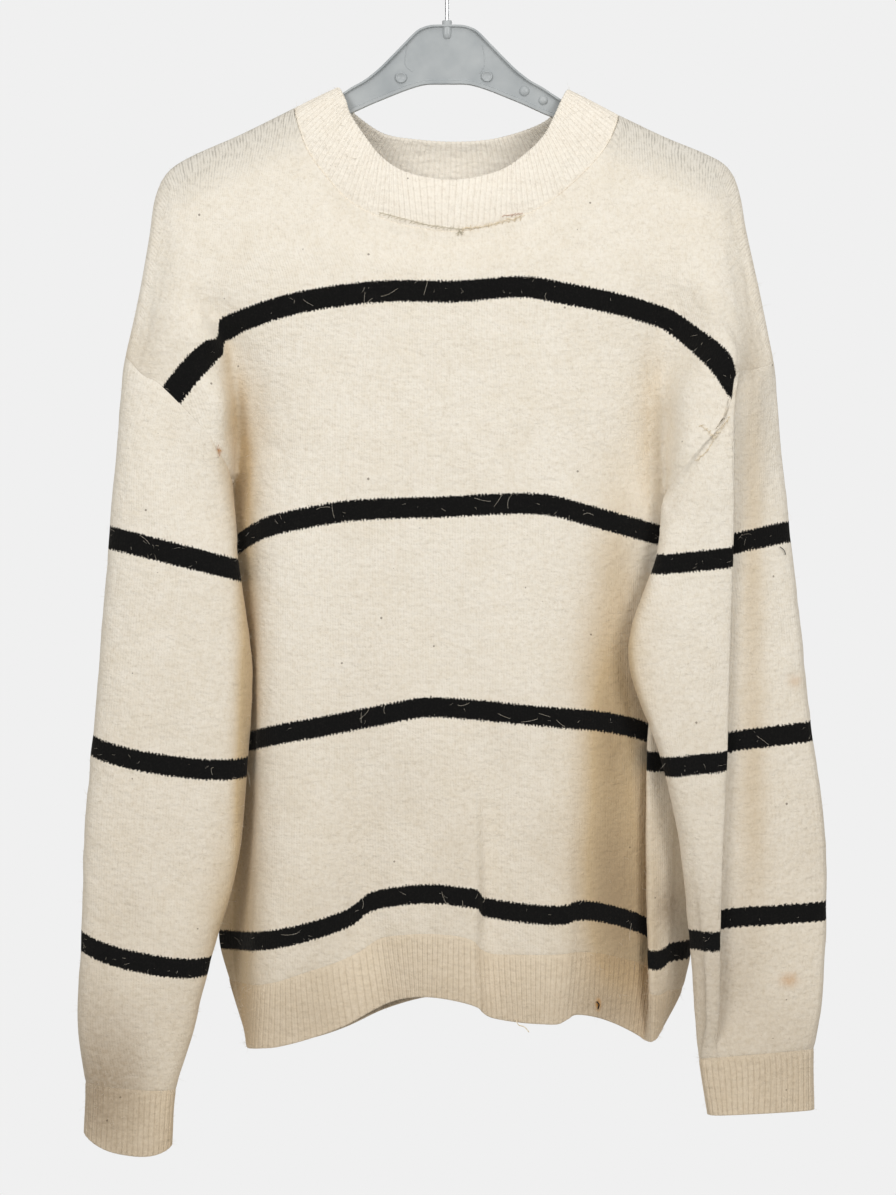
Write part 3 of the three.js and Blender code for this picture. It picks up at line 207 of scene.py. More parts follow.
        (-0.71, -143.5, -15.5, 702.3), (-0.66, -137, -22, 701.8), (-0.6, -124, -26.5, 700.5),
        (-0.5, -100, -31, 694), (-0.38, -73, -29, 684), (-0.3, -52, -26, 672.5), (-0.24, -40, -28, 667),
        (-0.15, -26, -32, 664), (-0.05, -10, -37, 663.6), (0.04, 8.8, -40, 666.5), (0.1, 23, -40, 671),
        (0.13, 29, -36, 676.5), (0.17, 36, -34, 679.3), (0.25, 52, -38, 681.6), (0.36, 70, -42, 682.6),
        (0.42, 81, -43, 682.4), (0.46, 88, -42, 679), (0.49, 93.5, -40, 676), (0.55, 106.4, -35, 677.5),
        (0.64, 121, -27, 682.5), (0.71, 134, -20, 689), (0.76, 141.5, -15, 693.6), (0.81, 145, -13, 696.5),
        (0.86, 147.5, -16, 697.5), (0.9, 150, -17.5, 697.3), (0.94, 153.5, -15, 695.5), (1, 157, -10, 690),
    ),
}
BACK_COURSES = {
    0: (
        *SHOULDER_LEFT, (NECK_LEFT, -112.3, 0, 13.9), (-0.342, -110, 7, 22), (-0.3, -98, 13, 40),
        (-0.21, -70, 17, 56), (-0.1, -34, 20, 65), (0.015, 5, 21, 68.5), (0.13, 43, 20, 65.5),
        (0.24, 80, 17, 57), (0.32, 108, 12, 40), (0.36, 123, 7, 26), (NECK_RIGHT, 126.2, 0, 19.1),
        *SHOULDER_RIGHT,
    ),
    8: (
        (-1, -235.5, -3, 204), (-0.86, -221.5, 4, 158), (-0.76, -211.5, 8, 112), (-0.705, -206.5, 8.5, 85),
        (-0.665, -200, 8.5, 71), (-0.61, -187, 8.5, 60), (-0.48, -148, 8.5, 41.5),
        (NECK_LEFT, -114, 9.5, 27), (-0.3, -104, 14, 46), (-0.21, -74, 18, 63), (-0.1, -36, 21.5, 73),
        (0.015, 5, 22.5, 76.5), (0.13, 45, 21.5, 73.5), (0.24, 84, 18, 64), (0.32, 114, 13, 46),
        (NECK_RIGHT, 128.5, 9.5, 32), (0.48, 156, 8.5, 43), (0.61, 195, 8.5, 61), (0.66, 203.5, 8.5, 71),
        (0.7, 207.5, 9, 84), (0.76, 212.5, 9, 105), (0.87, 225, 5, 156), (1, 239.5, -2, 207),
    ),
    70: (
        (-1, -229, 3, 217), (-0.86, -212, 13, 182), (-0.7, -188, 19, 148), (-0.5, -146, 22, 112),
        (-0.3, -90, 25, 100), (0, 0, 27, 107), (0.3, 93, 25, 101), (0.5, 147, 22, 113), (0.7, 190, 19, 147),
        (0.87, 217, 12, 184), (1, 234, 4, 220),
    ),
    142: (
        (-1, -213, 8, 236), (-0.85, -190, 19, 208), (-0.65, -152, 26, 176), (-0.4, -97, 29, 153),
        (-0.15, -38, 30, 144), (0.1, 22, 30, 143), (0.4, 98, 29, 152), (0.65, 155, 25, 175),
        (0.85, 196, 16, 208), (1, 219, 8, 236),
    ),
    184: (
        (-1, -192, 13, 256), (-0.85, -171, 24, 236), (-0.65, -140, 31, 214), (-0.4, -90, 34, 196),
        (0, 0, 35, 187), (0.4, 91, 34, 196), (0.65, 142, 30, 214), (0.85, 177, 22, 238), (1, 203, 11, 260),
    ),
    220: (
        (-1, -175, 13, 271), (-0.85, -160, 26, 258), (-0.65, -133, 34, 243), (-0.4, -86, 38, 229),
        (0, 0, 39, 222), (0.4, 87, 38, 229), (0.65, 134, 33, 243), (0.85, 165, 24, 259), (1, 187, 13, 277),
    ),
    245: (
        (-1, -165, 9.5, 281), (-0.85, -154, 25, 273), (-0.65, -124, 35, 262), (-0.4, -83, 40, 249),
        (0, 0, 41, 242), (0.4, 84, 39, 249), (0.65, 130, 33, 262), (0.85, 159, 22, 277), (1, 174, 11, 287),
    ),
    UNDERARM: (
        (-1, -158, 2, 289), (-0.9, -153, 15, 286), (-0.8, -144, 26, 282), (-0.62, -116, 36, 274),
        (-0.4, -80, 41, 266), (-0.15, -32, 38, 261), (0.1, 20, 42, 260), (0.35, 72, 38, 264),
        (0.6, 115, 38, 273), (0.8, 147, 25, 284), (0.9, 160, 15, 290), (1, 165, 2, 294),
    ),
    300: (
        (-1, -164, 13, 331), (-0.9, -155, 27, 327), (-0.78, -138, 36, 320), (-0.6, -110, 36, 312),
        (-0.4, -78, 43, 304), (-0.15, -32, 37, 300), (0.1, 18, 44, 299), (0.35, 66, 37, 301),
        (0.6, 112, 41, 310), (0.78, 144, 33, 319), (0.9, 162, 18, 324), (1, 165, 2, 324),
    ),
    450: (
        (-1, -165, 22, 475), (-0.93, -160, 36, 474), (-0.82, -143, 44, 471), (-0.66, -113, 33, 466),
        (-0.45, -80, 45, 459), (-0.25, -48, 38, 454), (-0.05, -10, 33, 450), (0.15, 25, 46, 449),
        (0.35, 60, 36, 452), (0.52, 92, 36, 458), (0.7, 128, 47, 466), (0.84, 157, 38, 474),
        (0.93, 177, 8, 482), (1, 167, -12, 487),
    ),
    600: (
        (-1, -168.8, 26, 621.7), (-0.93, -160, 40, 621), (-0.82, -140, 46, 619), (-0.66, -112, 30, 614),
        (-0.45, -82, 44, 606), (-0.25, -48, 36, 599), (-0.05, -10, 28, 594), (0.15, 25, 46, 594),
        (0.35, 60, 34, 599), (0.52, 92, 30, 605), (0.7, 127, 46, 613), (0.84, 157, 42, 620),
        (0.93, 180, 7, 626), (1, 163, -16, 628.5),
    ),
    RIB_LEVEL: (
        (-1, -161, 24, 655), (-0.93, -154, 37, 656), (-0.82, -136, 43, 655), (-0.66, -109, 30, 650),
        (-0.45, -79, 41, 641), (-0.25, -46, 34, 634), (-0.05, -10, 28, 629), (0.15, 25, 43, 629),
        (0.35, 59, 33, 634), (0.52, 89, 30, 640), (0.7, 122, 43, 648), (0.84, 150, 40, 655),
        (0.93, 173, 8, 660), (1, 161, -15, 661),
    ),
    HEM_LEVEL: (
        (-1, -148, 20, 697), (-0.93, -143, 31, 701), (-0.82, -128, 37, 702), (-0.66, -104, 29, 699),
        (-0.45, -75, 36, 690.5), (-0.25, -44, 31, 676), (-0.05, -10, 28, 667), (0.15, 24, 38, 669),
        (0.35, 56, 31, 676), (0.52, 84, 29, 677), (0.7, 114, 37, 680), (0.84, 138, 34, 689),
        (0.93, 156, 16, 693), (1, 157, -10, 690),
    ),
}

# ------------------------------------------------------------------ rings of the sleeves
# [knitted distance, outer x, y, drop, inner x, y, drop, sag of the middle, front and back swell]
LEFT_RINGS = (
    (45, -241, -15, 258, -154, -15, 318, -2, 19, 20),
    (105, -246.6, -17, 322, -152, -22, 346, 0, 18, 19),
    (185, -252.5, -18, 398, -142.5, -22, 421, 1, 19, 20),
    (256, -259, -18, 476.4, -145.5, -22, 492, 7, 18, 20),
    (332, -265, -17, 550, -152.5, -21, 566, 8, 17, 20),
    (407, -267.5, -16, 622, -173.5, -19, 640, 7, 16, 19),
    (470, -269.5, -15, 688, -186, -18, 694, 4, 15, 17),
    (512, -264.5, -14, 727, -198, -16, 732.5, 2, 13, 14),
    (558, -265.5, -14, 764, -201, -16, 773, 11, 12, 13),
)
# The same, then the pleat: fold line's x, its drop on the outer and the front side, hidden depth
RIGHT_RINGS = (
    (16, 241, -11, 221, 157.5, -31, 301, 0, 29, 22, 209, 232, 238, 6),
    (45, 243.5, -12, 256, 155.8, -34, 315, 0, 26, 22, 208.5, 268, 273, 8),
    (105, 249.6, -14, 318, 152.7, -38, 342, 0, 16, 16, 208.3, 327, 336.2, 15),
    (180, 258, -15, 391, 131.5, -43, 415, 0, 14, 17, 206, 399, 410, 17),
    (256, 265.7, -16, 464, 154.9, -40, 489.6, 0, 14, 18, 204, 472, 484.4, 17),
    (332, 275, -16, 533, 169, -36, 552, 0, 14, 18, 200.5, 540, 552, 17),
    (400, 276.7, -16, 597, 176.2, -34, 617, 0, 13, 18, 198.5, 603, 617.3, 15),
    (465, 274, -15, 668, 180.5, -31, 676, 0, 12, 16, 198, 672, 677, 8),
    (503, 268.3, -14, 703, 183.5, -27, 709, 0, 11, 14, 199, 707, 708, 0),
    (548, 268.5, -14, 747, 190, -22, 750, 0, 11, 12, 203, 755, 756, 0),
)
# Right armhole: [share round the sleeve, share round the armhole], so that the pleat's fold line
# starts at the bend of the armhole
ARMHOLE_SHARES = np.array([
    (0, 0), (0.12, 0.075), (0.19, 0.105), (0.235, 0.122), (0.28, 0.14), (0.38, 0.29), (0.46, 0.43),
    (0.5, 0.5), (1, 1),
])
# Turned edge of the collar, [share round from the left neck point over the front, x, y, drop]
COLLAR_TOP = (
    (-0.045, -74, 10, 12), (-0.02, -79, 6, 2), (0, -80.5, 0, -0.8), (0.02, -79, -6, 1.5),
    (0.045, -75, -10.5, 10), (0.075, -71.5, -13, 20), (0.115, -61, -16, 36), (0.165, -47, -18, 52.8),
    (0.21, -27.9, -20, 63.9), (0.25, 4.5, -21, 68.9), (0.3, 37.4, -20, 62.4), (0.345, 57, -18, 50),
    (0.39, 71.2, -16, 36), (0.43, 79.3, -13, 21.3), (0.458, 84, -10.5, 11), (0.48, 88, -6, 3.2),
    (0.5, 89.5, 0, 0.8), (0.52, 88, 6, 3.6), (0.545, 83, 10, 13), (0.58, 74, 13, 22.5),
    (0.63, 56, 16, 30.5), (0.69, 32, 18, 36.5), (0.75, 4.5, 19, 38.2), (0.81, -23, 18, 36.5),
    (0.87, -47, 16, 32.3), (0.92, -65, 13, 21), (0.955, -74, 10, 12), (0.98, -79, 6, 2), (1, -80.5, 0, -0.8),
)

# Black stripes: level of the top edge, and depth along the cloth
BODY_STRIPES = ((143.0, 15.8), (300.3, 15.2), (448.8, 14.6), (597.2, 14.0))
LEFT_STRIPES = ((104.0, 16.6), (253.0, 15.0), (401.0, 14.6))
RIGHT_STRIPES = ((104.5, 15.2), (255.2, 14.8), (397.5, 14.2))


# ------------------------------------------------------------------ arithmetic of surfaces
def smooth(places: Sequence[float], values: Array, at: Array) -> Array:
    """Smooth curve through keys.

    Between two keys it is the cubic whose slope at each key is that of the line between the
    key's neighbours. Two keys at one place make a corner.

    Args:
        places: where the keys are, rising, of length K.
        values: what they hold, of shape (K, ...).
        at: where the curve is wanted, of length N.

    Returns:
        The curve's values, of shape (N, ...).
    """
    place = np.asarray(places, float)
    flat = np.asarray(values, float).reshape(len(place), -1)
    last = len(place) - 1
    index = np.arange(last + 1)
    before = np.maximum(index - 1, 0)
    after = np.minimum(index + 1, last)
    before = np.where(place[before] < place, before, index)
    after = np.where(place[after] > place, after, index)
    slope = (flat[after] - flat[before]) / (place[after] - place[before])[:, None]
    t = np.clip(at, place[0], place[-1])
    i = np.clip(np.searchsorted(place, t, side="left") - 1, 0, last - 1)
    step = (place[i + 1] - place[i])[:, None]
    s = (t[:, None] - place[i][:, None]) / step
    curve = (
        flat[i] * (1 + 2 * s) * (1 - s) ** 2
        + flat[i + 1] * s * s * (3 - 2 * s)
        + slope[i] * step * s * (1 - s) ** 2
        - slope[i + 1] * step * s * s * (1 - s)
    )
    return curve.reshape((len(t), *np.asarray(values).shape[1:]))


def spaced(start: float, stop: float, step: float, fine: Sequence[float] = (0.7, 1.5, 2.6)) -> Array:
    """Evenly spaced places between two edges, with closer ones beside each edge."""
    count = max(2, round((stop - start - 2 * fine[-1]) / step))
    middle = np.linspace(start + fine[-1], stop - fine[-1], count + 1)
    near = np.array([0.0, *fine[:-1]])
    return np.concatenate([start + near, middle, stop - near[::-1]])


def hills(u: Array, v: Array, cell_u: float, cell_v: float, seed: int, around: int = 128) -> Array:
    """Soft random hills between -1 and 1.

    Random heights stand on the corners of a lattice and are blended inside each cell with
    the smooth step 3s^2 - 2s^3 both ways.

    Args:
        u, v: positions, millimetres.
        cell_u, cell_v: size of a lattice cell, millimetres.
        seed: which random heights.
        around: number of cells along u after which the pattern repeats.

    Returns:
        The height at each position.
    """
    heights = np.random.default_rng(seed).uniform(-1, 1, (around, 256))
    a, b = u / cell_u, v / cell_v
    i, j = np.floor(a).astype(int), np.floor(b).astype(int)
    s, t = a - i, b - j
    s, t = s * s * (3 - 2 * s), t * t * (3 - 2 * t)
    i0, i1, j0, j1 = i % around, (i + 1) % around, j % 256, (j + 1) % 256
    top = heights[i0, j0] * (1 - s) + heights[i1, j0] * s
    low = heights[i0, j1] * (1 - s) + heights[i1, j1] * s
    return top * (1 - t) + low * t


def directions(grid: Array, closed: bool, facing: int) -> Array:
    """Unit outward normals: the cross product of the grid's slopes down and along its rows."""
    if closed:
        along = np.roll(grid, -1, axis=1) - np.roll(grid, 1, axis=1)
    else:
        along = np.gradient(grid, axis=1)
    normal = np.cross(np.gradient(grid, axis=0), along) * facing
    return normal / np.maximum(np.linalg.norm(normal, axis=-1, keepdims=True), 1e-9)


def run_lengths(points: Array) -> Array:
    """Distance of each point from the first one, along the run."""
    return np.concatenate([[0.0], np.cumsum(np.linalg.norm(np.diff(points, axis=0), axis=1))])


def to_space(points: Array) -> Array:
    """Turns drops below the shoulders into heights."""
    return np.stack([points[..., 0], points[..., 1], SHOULDER_Z - points[..., 2]], axis=-1)


def bump(distance: Array, width: float) -> Array:
    """Bell curve that is 1 at distance 0 and has nearly gone at twice the width."""
    return np.exp(-((distance / width) ** 2))


def ribs(u: Array) -> Array:
    """Height of a rib from 0 in its narrow groove to 1 on its broad back, every RIB along u."""
    wave = np.abs(np.sin(np.pi * u / RIB))
    return np.minimum(1.0, wave * 1.5) ** 0.9


def stripe_distance(grid: Array, levels: Array, stripes: Sequence[tuple[float, float]]) -> Array:
    """Distance down the cloth from the nearest stripe's edge, negative inside a stripe.

    Args:
        grid: the surface, (rows, columns, 3).
        levels: the level of each row.
        stripes: the level of each stripe's top edge and its depth.

    Returns:
        The distance at each point, in millimetres.
    """
    steps = np.linalg.norm(np.diff(grid, axis=0), axis=-1)
    run = np.concatenate([np.zeros((1, grid.shape[1])), np.cumsum(steps, axis=0)])
    each = []
    for top, depth in stripes:
        row = np.interp(top, levels, np.arange(len(levels)))
        low = int(row)
        start = run[low] + (run[min(low + 1, len(levels) - 1)] - run[low]) * (row - low)
        each.append(np.abs(run - start - depth / 2) - depth / 2)
    return np.min(each, axis=0)


# ------------------------------------------------------------------ meshes
def make_mesh(name: str, vertices: Array, faces: Array, uv: Array | None = None) -> bpy.types.Object:
    """Object from millimetre vertices (V, 3), faces (F, 3 or 4) and corner UVs (F, 3 or 4, 2)."""
    vertices = np.asarray(vertices, float)
    a, b, c = (vertices[faces[:, k]] for k in (0, 1, 2))
    volume = np.einsum("ij,ij->", a, np.cross(b, c))
    if faces.shape[1] == 4:
        volume += np.einsum("ij,ij->", a, np.cross(c, vertices[faces[:, 3]]))
    if volume < 0:
        faces = faces[:, ::-1]
        uv = None if uv is None else uv[:, ::-1]
    mesh = bpy.data.meshes.new(name)
    sides = faces.shape[1]
    mesh.vertices.add(len(vertices))
    mesh.vertices.foreach_set("co", (vertices * MM).astype(np.float32).ravel())
    mesh.loops.add(faces.size)
    mesh.loops.foreach_set("vertex_index", faces.astype(np.int32).ravel())
    mesh.polygons.add(len(faces))
    mesh.polygons.foreach_set("loop_start", np.arange(0, faces.size, sides, dtype=np.int32))
    mesh.update(calc_edges=True)
    mesh.polygons.foreach_set("use_smooth", np.ones(len(faces), bool))
    if uv is not None:
        layer = mesh.uv_layers.new(name="Knit")
        layer.data.foreach_set("uv", (uv * MM).astype(np.float32).ravel())
    piece = bpy.data.objects.new(name, mesh)
    bpy.context.collection.objects.link(piece)
    return piece


def mark(piece: bpy.types.Object, name: str, values: Array) -> None:
    """Stores one number per vertex on a piece for its material."""
    attribute = piece.data.attributes.new(name, "FLOAT", "POINT")
    attribute.data.foreach_set("value", np.asarray(values, np.float32).ravel())


def strip(first: Array, second: Array) -> Array:
    """Faces between two rings of vertex numbers of one length."""
    first, second = np.append(first, first[:1]), np.append(second, second[:1])
    return np.stack([first[:-1], second[:-1], second[1:], first[1:]], axis=-1)


def corners(grid: Array) -> Array:
    """The four corners of each cell of a grid, (rows - 1, columns - 1, 4, ...)."""
    return np.stack([grid[:-1, :-1], grid[1:, :-1], grid[1:, 1:], grid[:-1, 1:]], axis=2)


def has_edge(faces: Array, start: int, end: int) -> bool:
    """Whether some face runs from one vertex straight to the other."""
    return bool(((faces == start) & (np.roll(faces, -1, axis=1) == end)).any())


@dataclass
class Cloth:
    """Closed wall of cloth between an outer and an inner grid, with rounded rims.

    Attributes:
        outer: outer surface, (rows, columns, 3), millimetres.
        inner: inner surface, the same shape.
        uv: place of each point in the knitting, (rows, columns or columns + 1, 2), millimetres.
        closed: whether the rows run round a tube.
        rim: how far a rim bulges, as a share of half the wall.
        marks: numbers per point for the material, (rows, columns) each.
    """

    outer: Array
    inner: Array
    uv: Array
    closed: bool = False
    rim: float = 0.9
    marks: dict[str, Array] = field(default_factory=dict)

    def _loops(self) -> list[tuple[Array, Array, Array]]:
        """Boundary runs: vertex numbers, the ones just inside them, and their UVs."""
        rows, columns = self.outer.shape[:2]
        number = np.arange(rows * columns).reshape(rows, columns)
        if self.closed:
            return [
                (number[0], number[1], self.uv[0]),
                (number[-1], number[-2], self.uv[-1]),
            ]

        def pick(grid: Array) -> Array:
            """Values once round the grid's boundary."""
            return np.concatenate([grid[0, :-1], grid[:-1, -1], grid[-1, :0:-1], grid[:0:-1, 0]])

        inside_j = np.clip(np.arange(rows), 1, rows - 2)
        inside_i = np.clip(np.arange(columns), 1, columns - 2)
        inside = number[inside_j][:, inside_i]
        loop_uv = pick(self.uv)
        return [(pick(number), pick(inside), np.concatenate([loop_uv, loop_uv[:1]]))]

    def build(self, name: str) -> bpy.types.Object:
        """Mesh: both grids, joined round each rim by a half circle of four facets."""
        rows, columns = self.outer.shape[:2]
        size = rows * columns
        number = np.arange(size).reshape(rows, columns)
        if self.closed:
            number = np.concatenate([number, number[:, :1]], axis=1)
        quads, quad_uv = corners(number).reshape(-1, 4), corners(self.uv).reshape(-1, 4, 2)
        outer, inner = self.outer.reshape(-1, 3), self.inner.reshape(-1, 3)
        points, sources = [outer, inner], [np.arange(size), np.arange(size)]
        faces, uvs = [quads, quads[:, ::-1] + size], [quad_uv, quad_uv[:, ::-1]]
        total = 2 * size
        for edge, inside, edge_uv in self._loops():
            middle, half = (outer[edge] + inner[edge]) / 2, (outer[edge] - inner[edge]) / 2
            away = middle - (outer[inside] + inner[inside]) / 2
            away /= np.maximum(np.linalg.norm(away, axis=1, keepdims=True), 1e-9)
            reach = np.linalg.norm(half, axis=1, keepdims=True) * self.rim
            rings = [edge]
            for angle in (math.pi / 4, math.pi / 2, 3 * math.pi / 4):
                points.append(middle + half * math.cos(angle) + away * reach * math.sin(angle))
                sources.append(edge)
                rings.append(np.arange(total, total + len(edge)))
                total += len(edge)
            rings.append(edge + size)
            turn = -1 if has_edge(quads, edge[1], edge[0]) else 1
            strip_uv = np.stack([edge_uv[:-1], edge_uv[:-1], edge_uv[1:], edge_uv[1:]], axis=1)
            for first, second in zip(rings, rings[1:]):
                faces.append(strip(first, second)[:, ::turn])
                uvs.append(strip_uv[:, ::turn])
        piece = make_mesh(name, np.concatenate(points), np.concatenate(faces), np.concatenate(uvs))
        piece["outer_points"] = size
        order = np.concatenate(sources)
        for key, values in self.marks.items():
            mark(piece, key, values.reshape(-1)[order])
        return piece


# ------------------------------------------------------------------ wear
@dataclass(frozen=True)
class Spot:
    """Soft oval mark on the cloth: centre, half sizes and strength, seen from the front."""

    x: float
    z: float
    across: float
    down: float
    strength: float

    def at(self, points: Array) -> Array:
        """Strength of the mark at each point."""
        dx, dz = (points[..., 0] - self.x) / self.across, (points[..., 2] - self.z) / self.down
        return self.strength * np.exp(-(dx**2 + dz**2))


@dataclass(frozen=True)
class Wear:
    """Dirt, stains, thin places and painted shade on the whole garment.

    Attributes:
        dirt: rubbed and soiled places.
        rust: rust-coloured stains.
        shades: spots of painted shade in the valleys between the folds, tan and darker.
        right_side: x beyond which less painted shade is laid, in the right valley and sleeve.
        right_share: how much of the painted shade is left there.
    """

    dirt: tuple[Spot, ...] = (
        Spot(-246, -868, 30, 40, 0.5), Spot(-258, -850, 14, 40, 0.28), Spot(-232, -838, 14, 26, 0.2),
        Spot(-250, -800, 30, 40, 0.22), Spot(228, -850, 60, 45, 0.1), Spot(120, -795, 34, 22, 0.3),
        Spot(112, -740, 26, 70, 0.22), Spot(160, -722, 9, 16, 0.6), Spot(-20, -800, 160, 22, 0.16),
        Spot(200, -760, 30, 60, 0.2),
    )
    rust: tuple[Spot, ...] = (
        Spot(249, -775, 6, 4.2, 0.55), Spot(253.8, -557, 5, 4.5, 0.3), Spot(252.5, -770, 1.4, 1.2, 1.0),
        Spot(-165.8, -389, 1.2, 1.4, 1.4), Spot(110, -792, 1.6, 3.2, 1.3),
    )
    shades: tuple[Spot, ...] = (
        Spot(-161, -322, 5, 22, 0.6), Spot(-156, -362, 6, 26, 0.8), Spot(-150, -405, 8, 34, 0.8),
        Spot(-147, -465, 7, 45, 0.5), Spot(-147, -555, 7, 62, 0.8), Spot(118, -525, 22, 75, 0.5),
        Spot(124, -460, 14, 60, 0.35),
        Spot(119, -600, 22, 62, 1.0), Spot(118, -690, 25, 56, 1.05), Spot(126, -750, 24, 50, 0.9),
        Spot(152, -360, 8, 60, 0.25), Spot(223, -440, 9, 130, 0.5), Spot(223, -640, 11, 90, 0.4),
        Spot(-160, -747, 14, 60, 0.6), Spot(-150, -645, 7, 60, 0.8),
    )
    right_side: float = 148.0
    right_share: float = 0.3

    def grime(self, points: Array) -> Array:
        """Dirt that gathers downwards and on the rubbed places, from 0 to 1."""
        fall = np.clip((-200.0 - points[..., 2]) / 700.0, 0, 1)
        patches = hills(points[..., 0] + 300, points[..., 2] + 1000, 34, 46, 5) * 0.5 + 0.5
        total = 0.24 * fall**1.5 * (0.6 + 0.8 * patches)
        return np.clip(total + sum(spot.at(points) for spot in self.dirt), 0, 1)

    def warm(self, points: Array, normals: Array, inward: int) -> Array:
        """Painted shade: how far the wool is darkened to tan where it faces the valley
        between body and sleeve, along the listed shades, and more towards the bottom.

        Args:
            points: points of the surface.
            normals: outward directions there.
            inward: +1 on the body, whose valleys are at its sides, and -1 on a sleeve.

        Returns:
            The painted shade at each point, about 1 in a plain valley and up to 1.6 in a deep one.
        """
        side = np.clip(normals[..., 0] * np.sign(points[..., 0]) * inward, 0, 1)
        near = 0.75 * np.clip((np.abs(points[..., 0]) - 122) / 30, 0, 1) if inward > 0 else 0.4
        on_right = np.where(points[..., 0] > self.right_side, self.right_share, 1.0)
        near = near * np.where(points[..., 1] < 12, 1.0, 0.4) * on_right
        low = np.clip((-285 - points[..., 2]) / 60, 0, 1)
        fall = np.clip((-480 - points[..., 2]) / 420, 0, 1)
        return side**1.3 * near * low + 0.27 * fall + sum(spot.at(points) for spot in self.shades)

    def stains(self, points: Array, front: Array | float) -> Array:
        """Rust-coloured marks, on the front only."""
        return np.clip(sum(spot.at(points) for spot in self.rust), 0, 1) * front

    def marks(self, grid: Array, normals: Array, inward: int, front: Array | float) -> dict[str, Array]:
        """The marks that every piece of cloth carries: grime, rust and painted shade."""
        return {
            "grime": self.grime(grid),
            "rust": self.stains(grid, front),
            "warm": self.warm(grid, normals, inward),
        }

    def sheer(self, points: Array) -> Array:
        """Thin places along the hanger's arms, where the knit lets it show through."""
        drop = SHOULDER_Z - points[..., 2]
        line = np.interp(np.abs(points[..., 0]), [90, 112, 160, 200, 216], [12, 14, 36, 56, 82])
        below = drop - line
        inside = np.clip((np.abs(points[..., 0]) - 92) / 22, 0, 1)
        outside = np.clip((216 - np.abs(points[..., 0])) / 20, 0, 1)
        return np.clip(1.15 - below / 34, 0, 1) * inside * outside


# ------------------------------------------------------------------ the body
def panel_surface(courses: dict[float, Any], across: Array, levels: Array) -> Array:
    """Smooth surface through a panel's courses, (levels, across, 3), millimetres.

    Each course is a smooth curve along across, and each column of the panel is a smooth curve
    down the levels. An added key at level 3.6 rolls the cloth over the shoulder line.
    """
    rows = np.stack([smooth(*split(keys), across) for keys in courses.values()])
    rolled = rows[0] + (rows[1] - rows[0]) * np.array([0.2, 0.64, 0.2])
    places = [*list(courses)[:1], 3.6, *list(courses)[1:]]
    return to_space(smooth(places, np.concatenate([rows[:1], rolled[None], rows[1:]]), levels))


def split(keys: Sequence[Sequence[float]]) -> tuple[Array, Array]:
    """Places and values of a table of keys."""
    table = np.asarray(keys, float)
    return table[:, 0], table[:, 1:]


def half_width(level: Array) -> Array:
    """Half the flat width of a body panel at a level, millimetres."""
    return np.interp(level, [0, 142, 184, 220, 270], [340, 250, 232, 222, HALF_BODY])


def ring_shares(fore: Array, rear: Array) -> tuple[Array, Array]:
    """Ring made of a front run and a rear run back: shares of the way round, and what is there."""
    a, b = run_lengths(fore[:, :3]), run_lengths(rear[:, :3])
    shares = np.concatenate([a / a[-1] / 2, 0.5 + b[1:] / b[-1] / 2])
    return shares, np.concatenate([fore, rear[1:]])


def felt_relief(u: Array, v: Array, seed: int, around: int = 0) -> Array:
    """Height of the felted knit's lumps, millimetres: hills of three sizes, taller than wide.

    Args:
        u, v: place in the knitting, millimetres.
        seed: which lumps.
        around: number of the smallest hills round a tube, a multiple of 8, or 0 on a panel.

    Returns:
        The height at each place.
    """
    total = np.zeros_like(u)
    for step, (size, height) in enumerate(((8, 0.55), (2, 0.3), (1, 0.24))):
        cells = around // size if around else 128
        total += height * hills(u, v, LUMP * size, LUMP * size * 1.5, seed + step, cells)
    return total


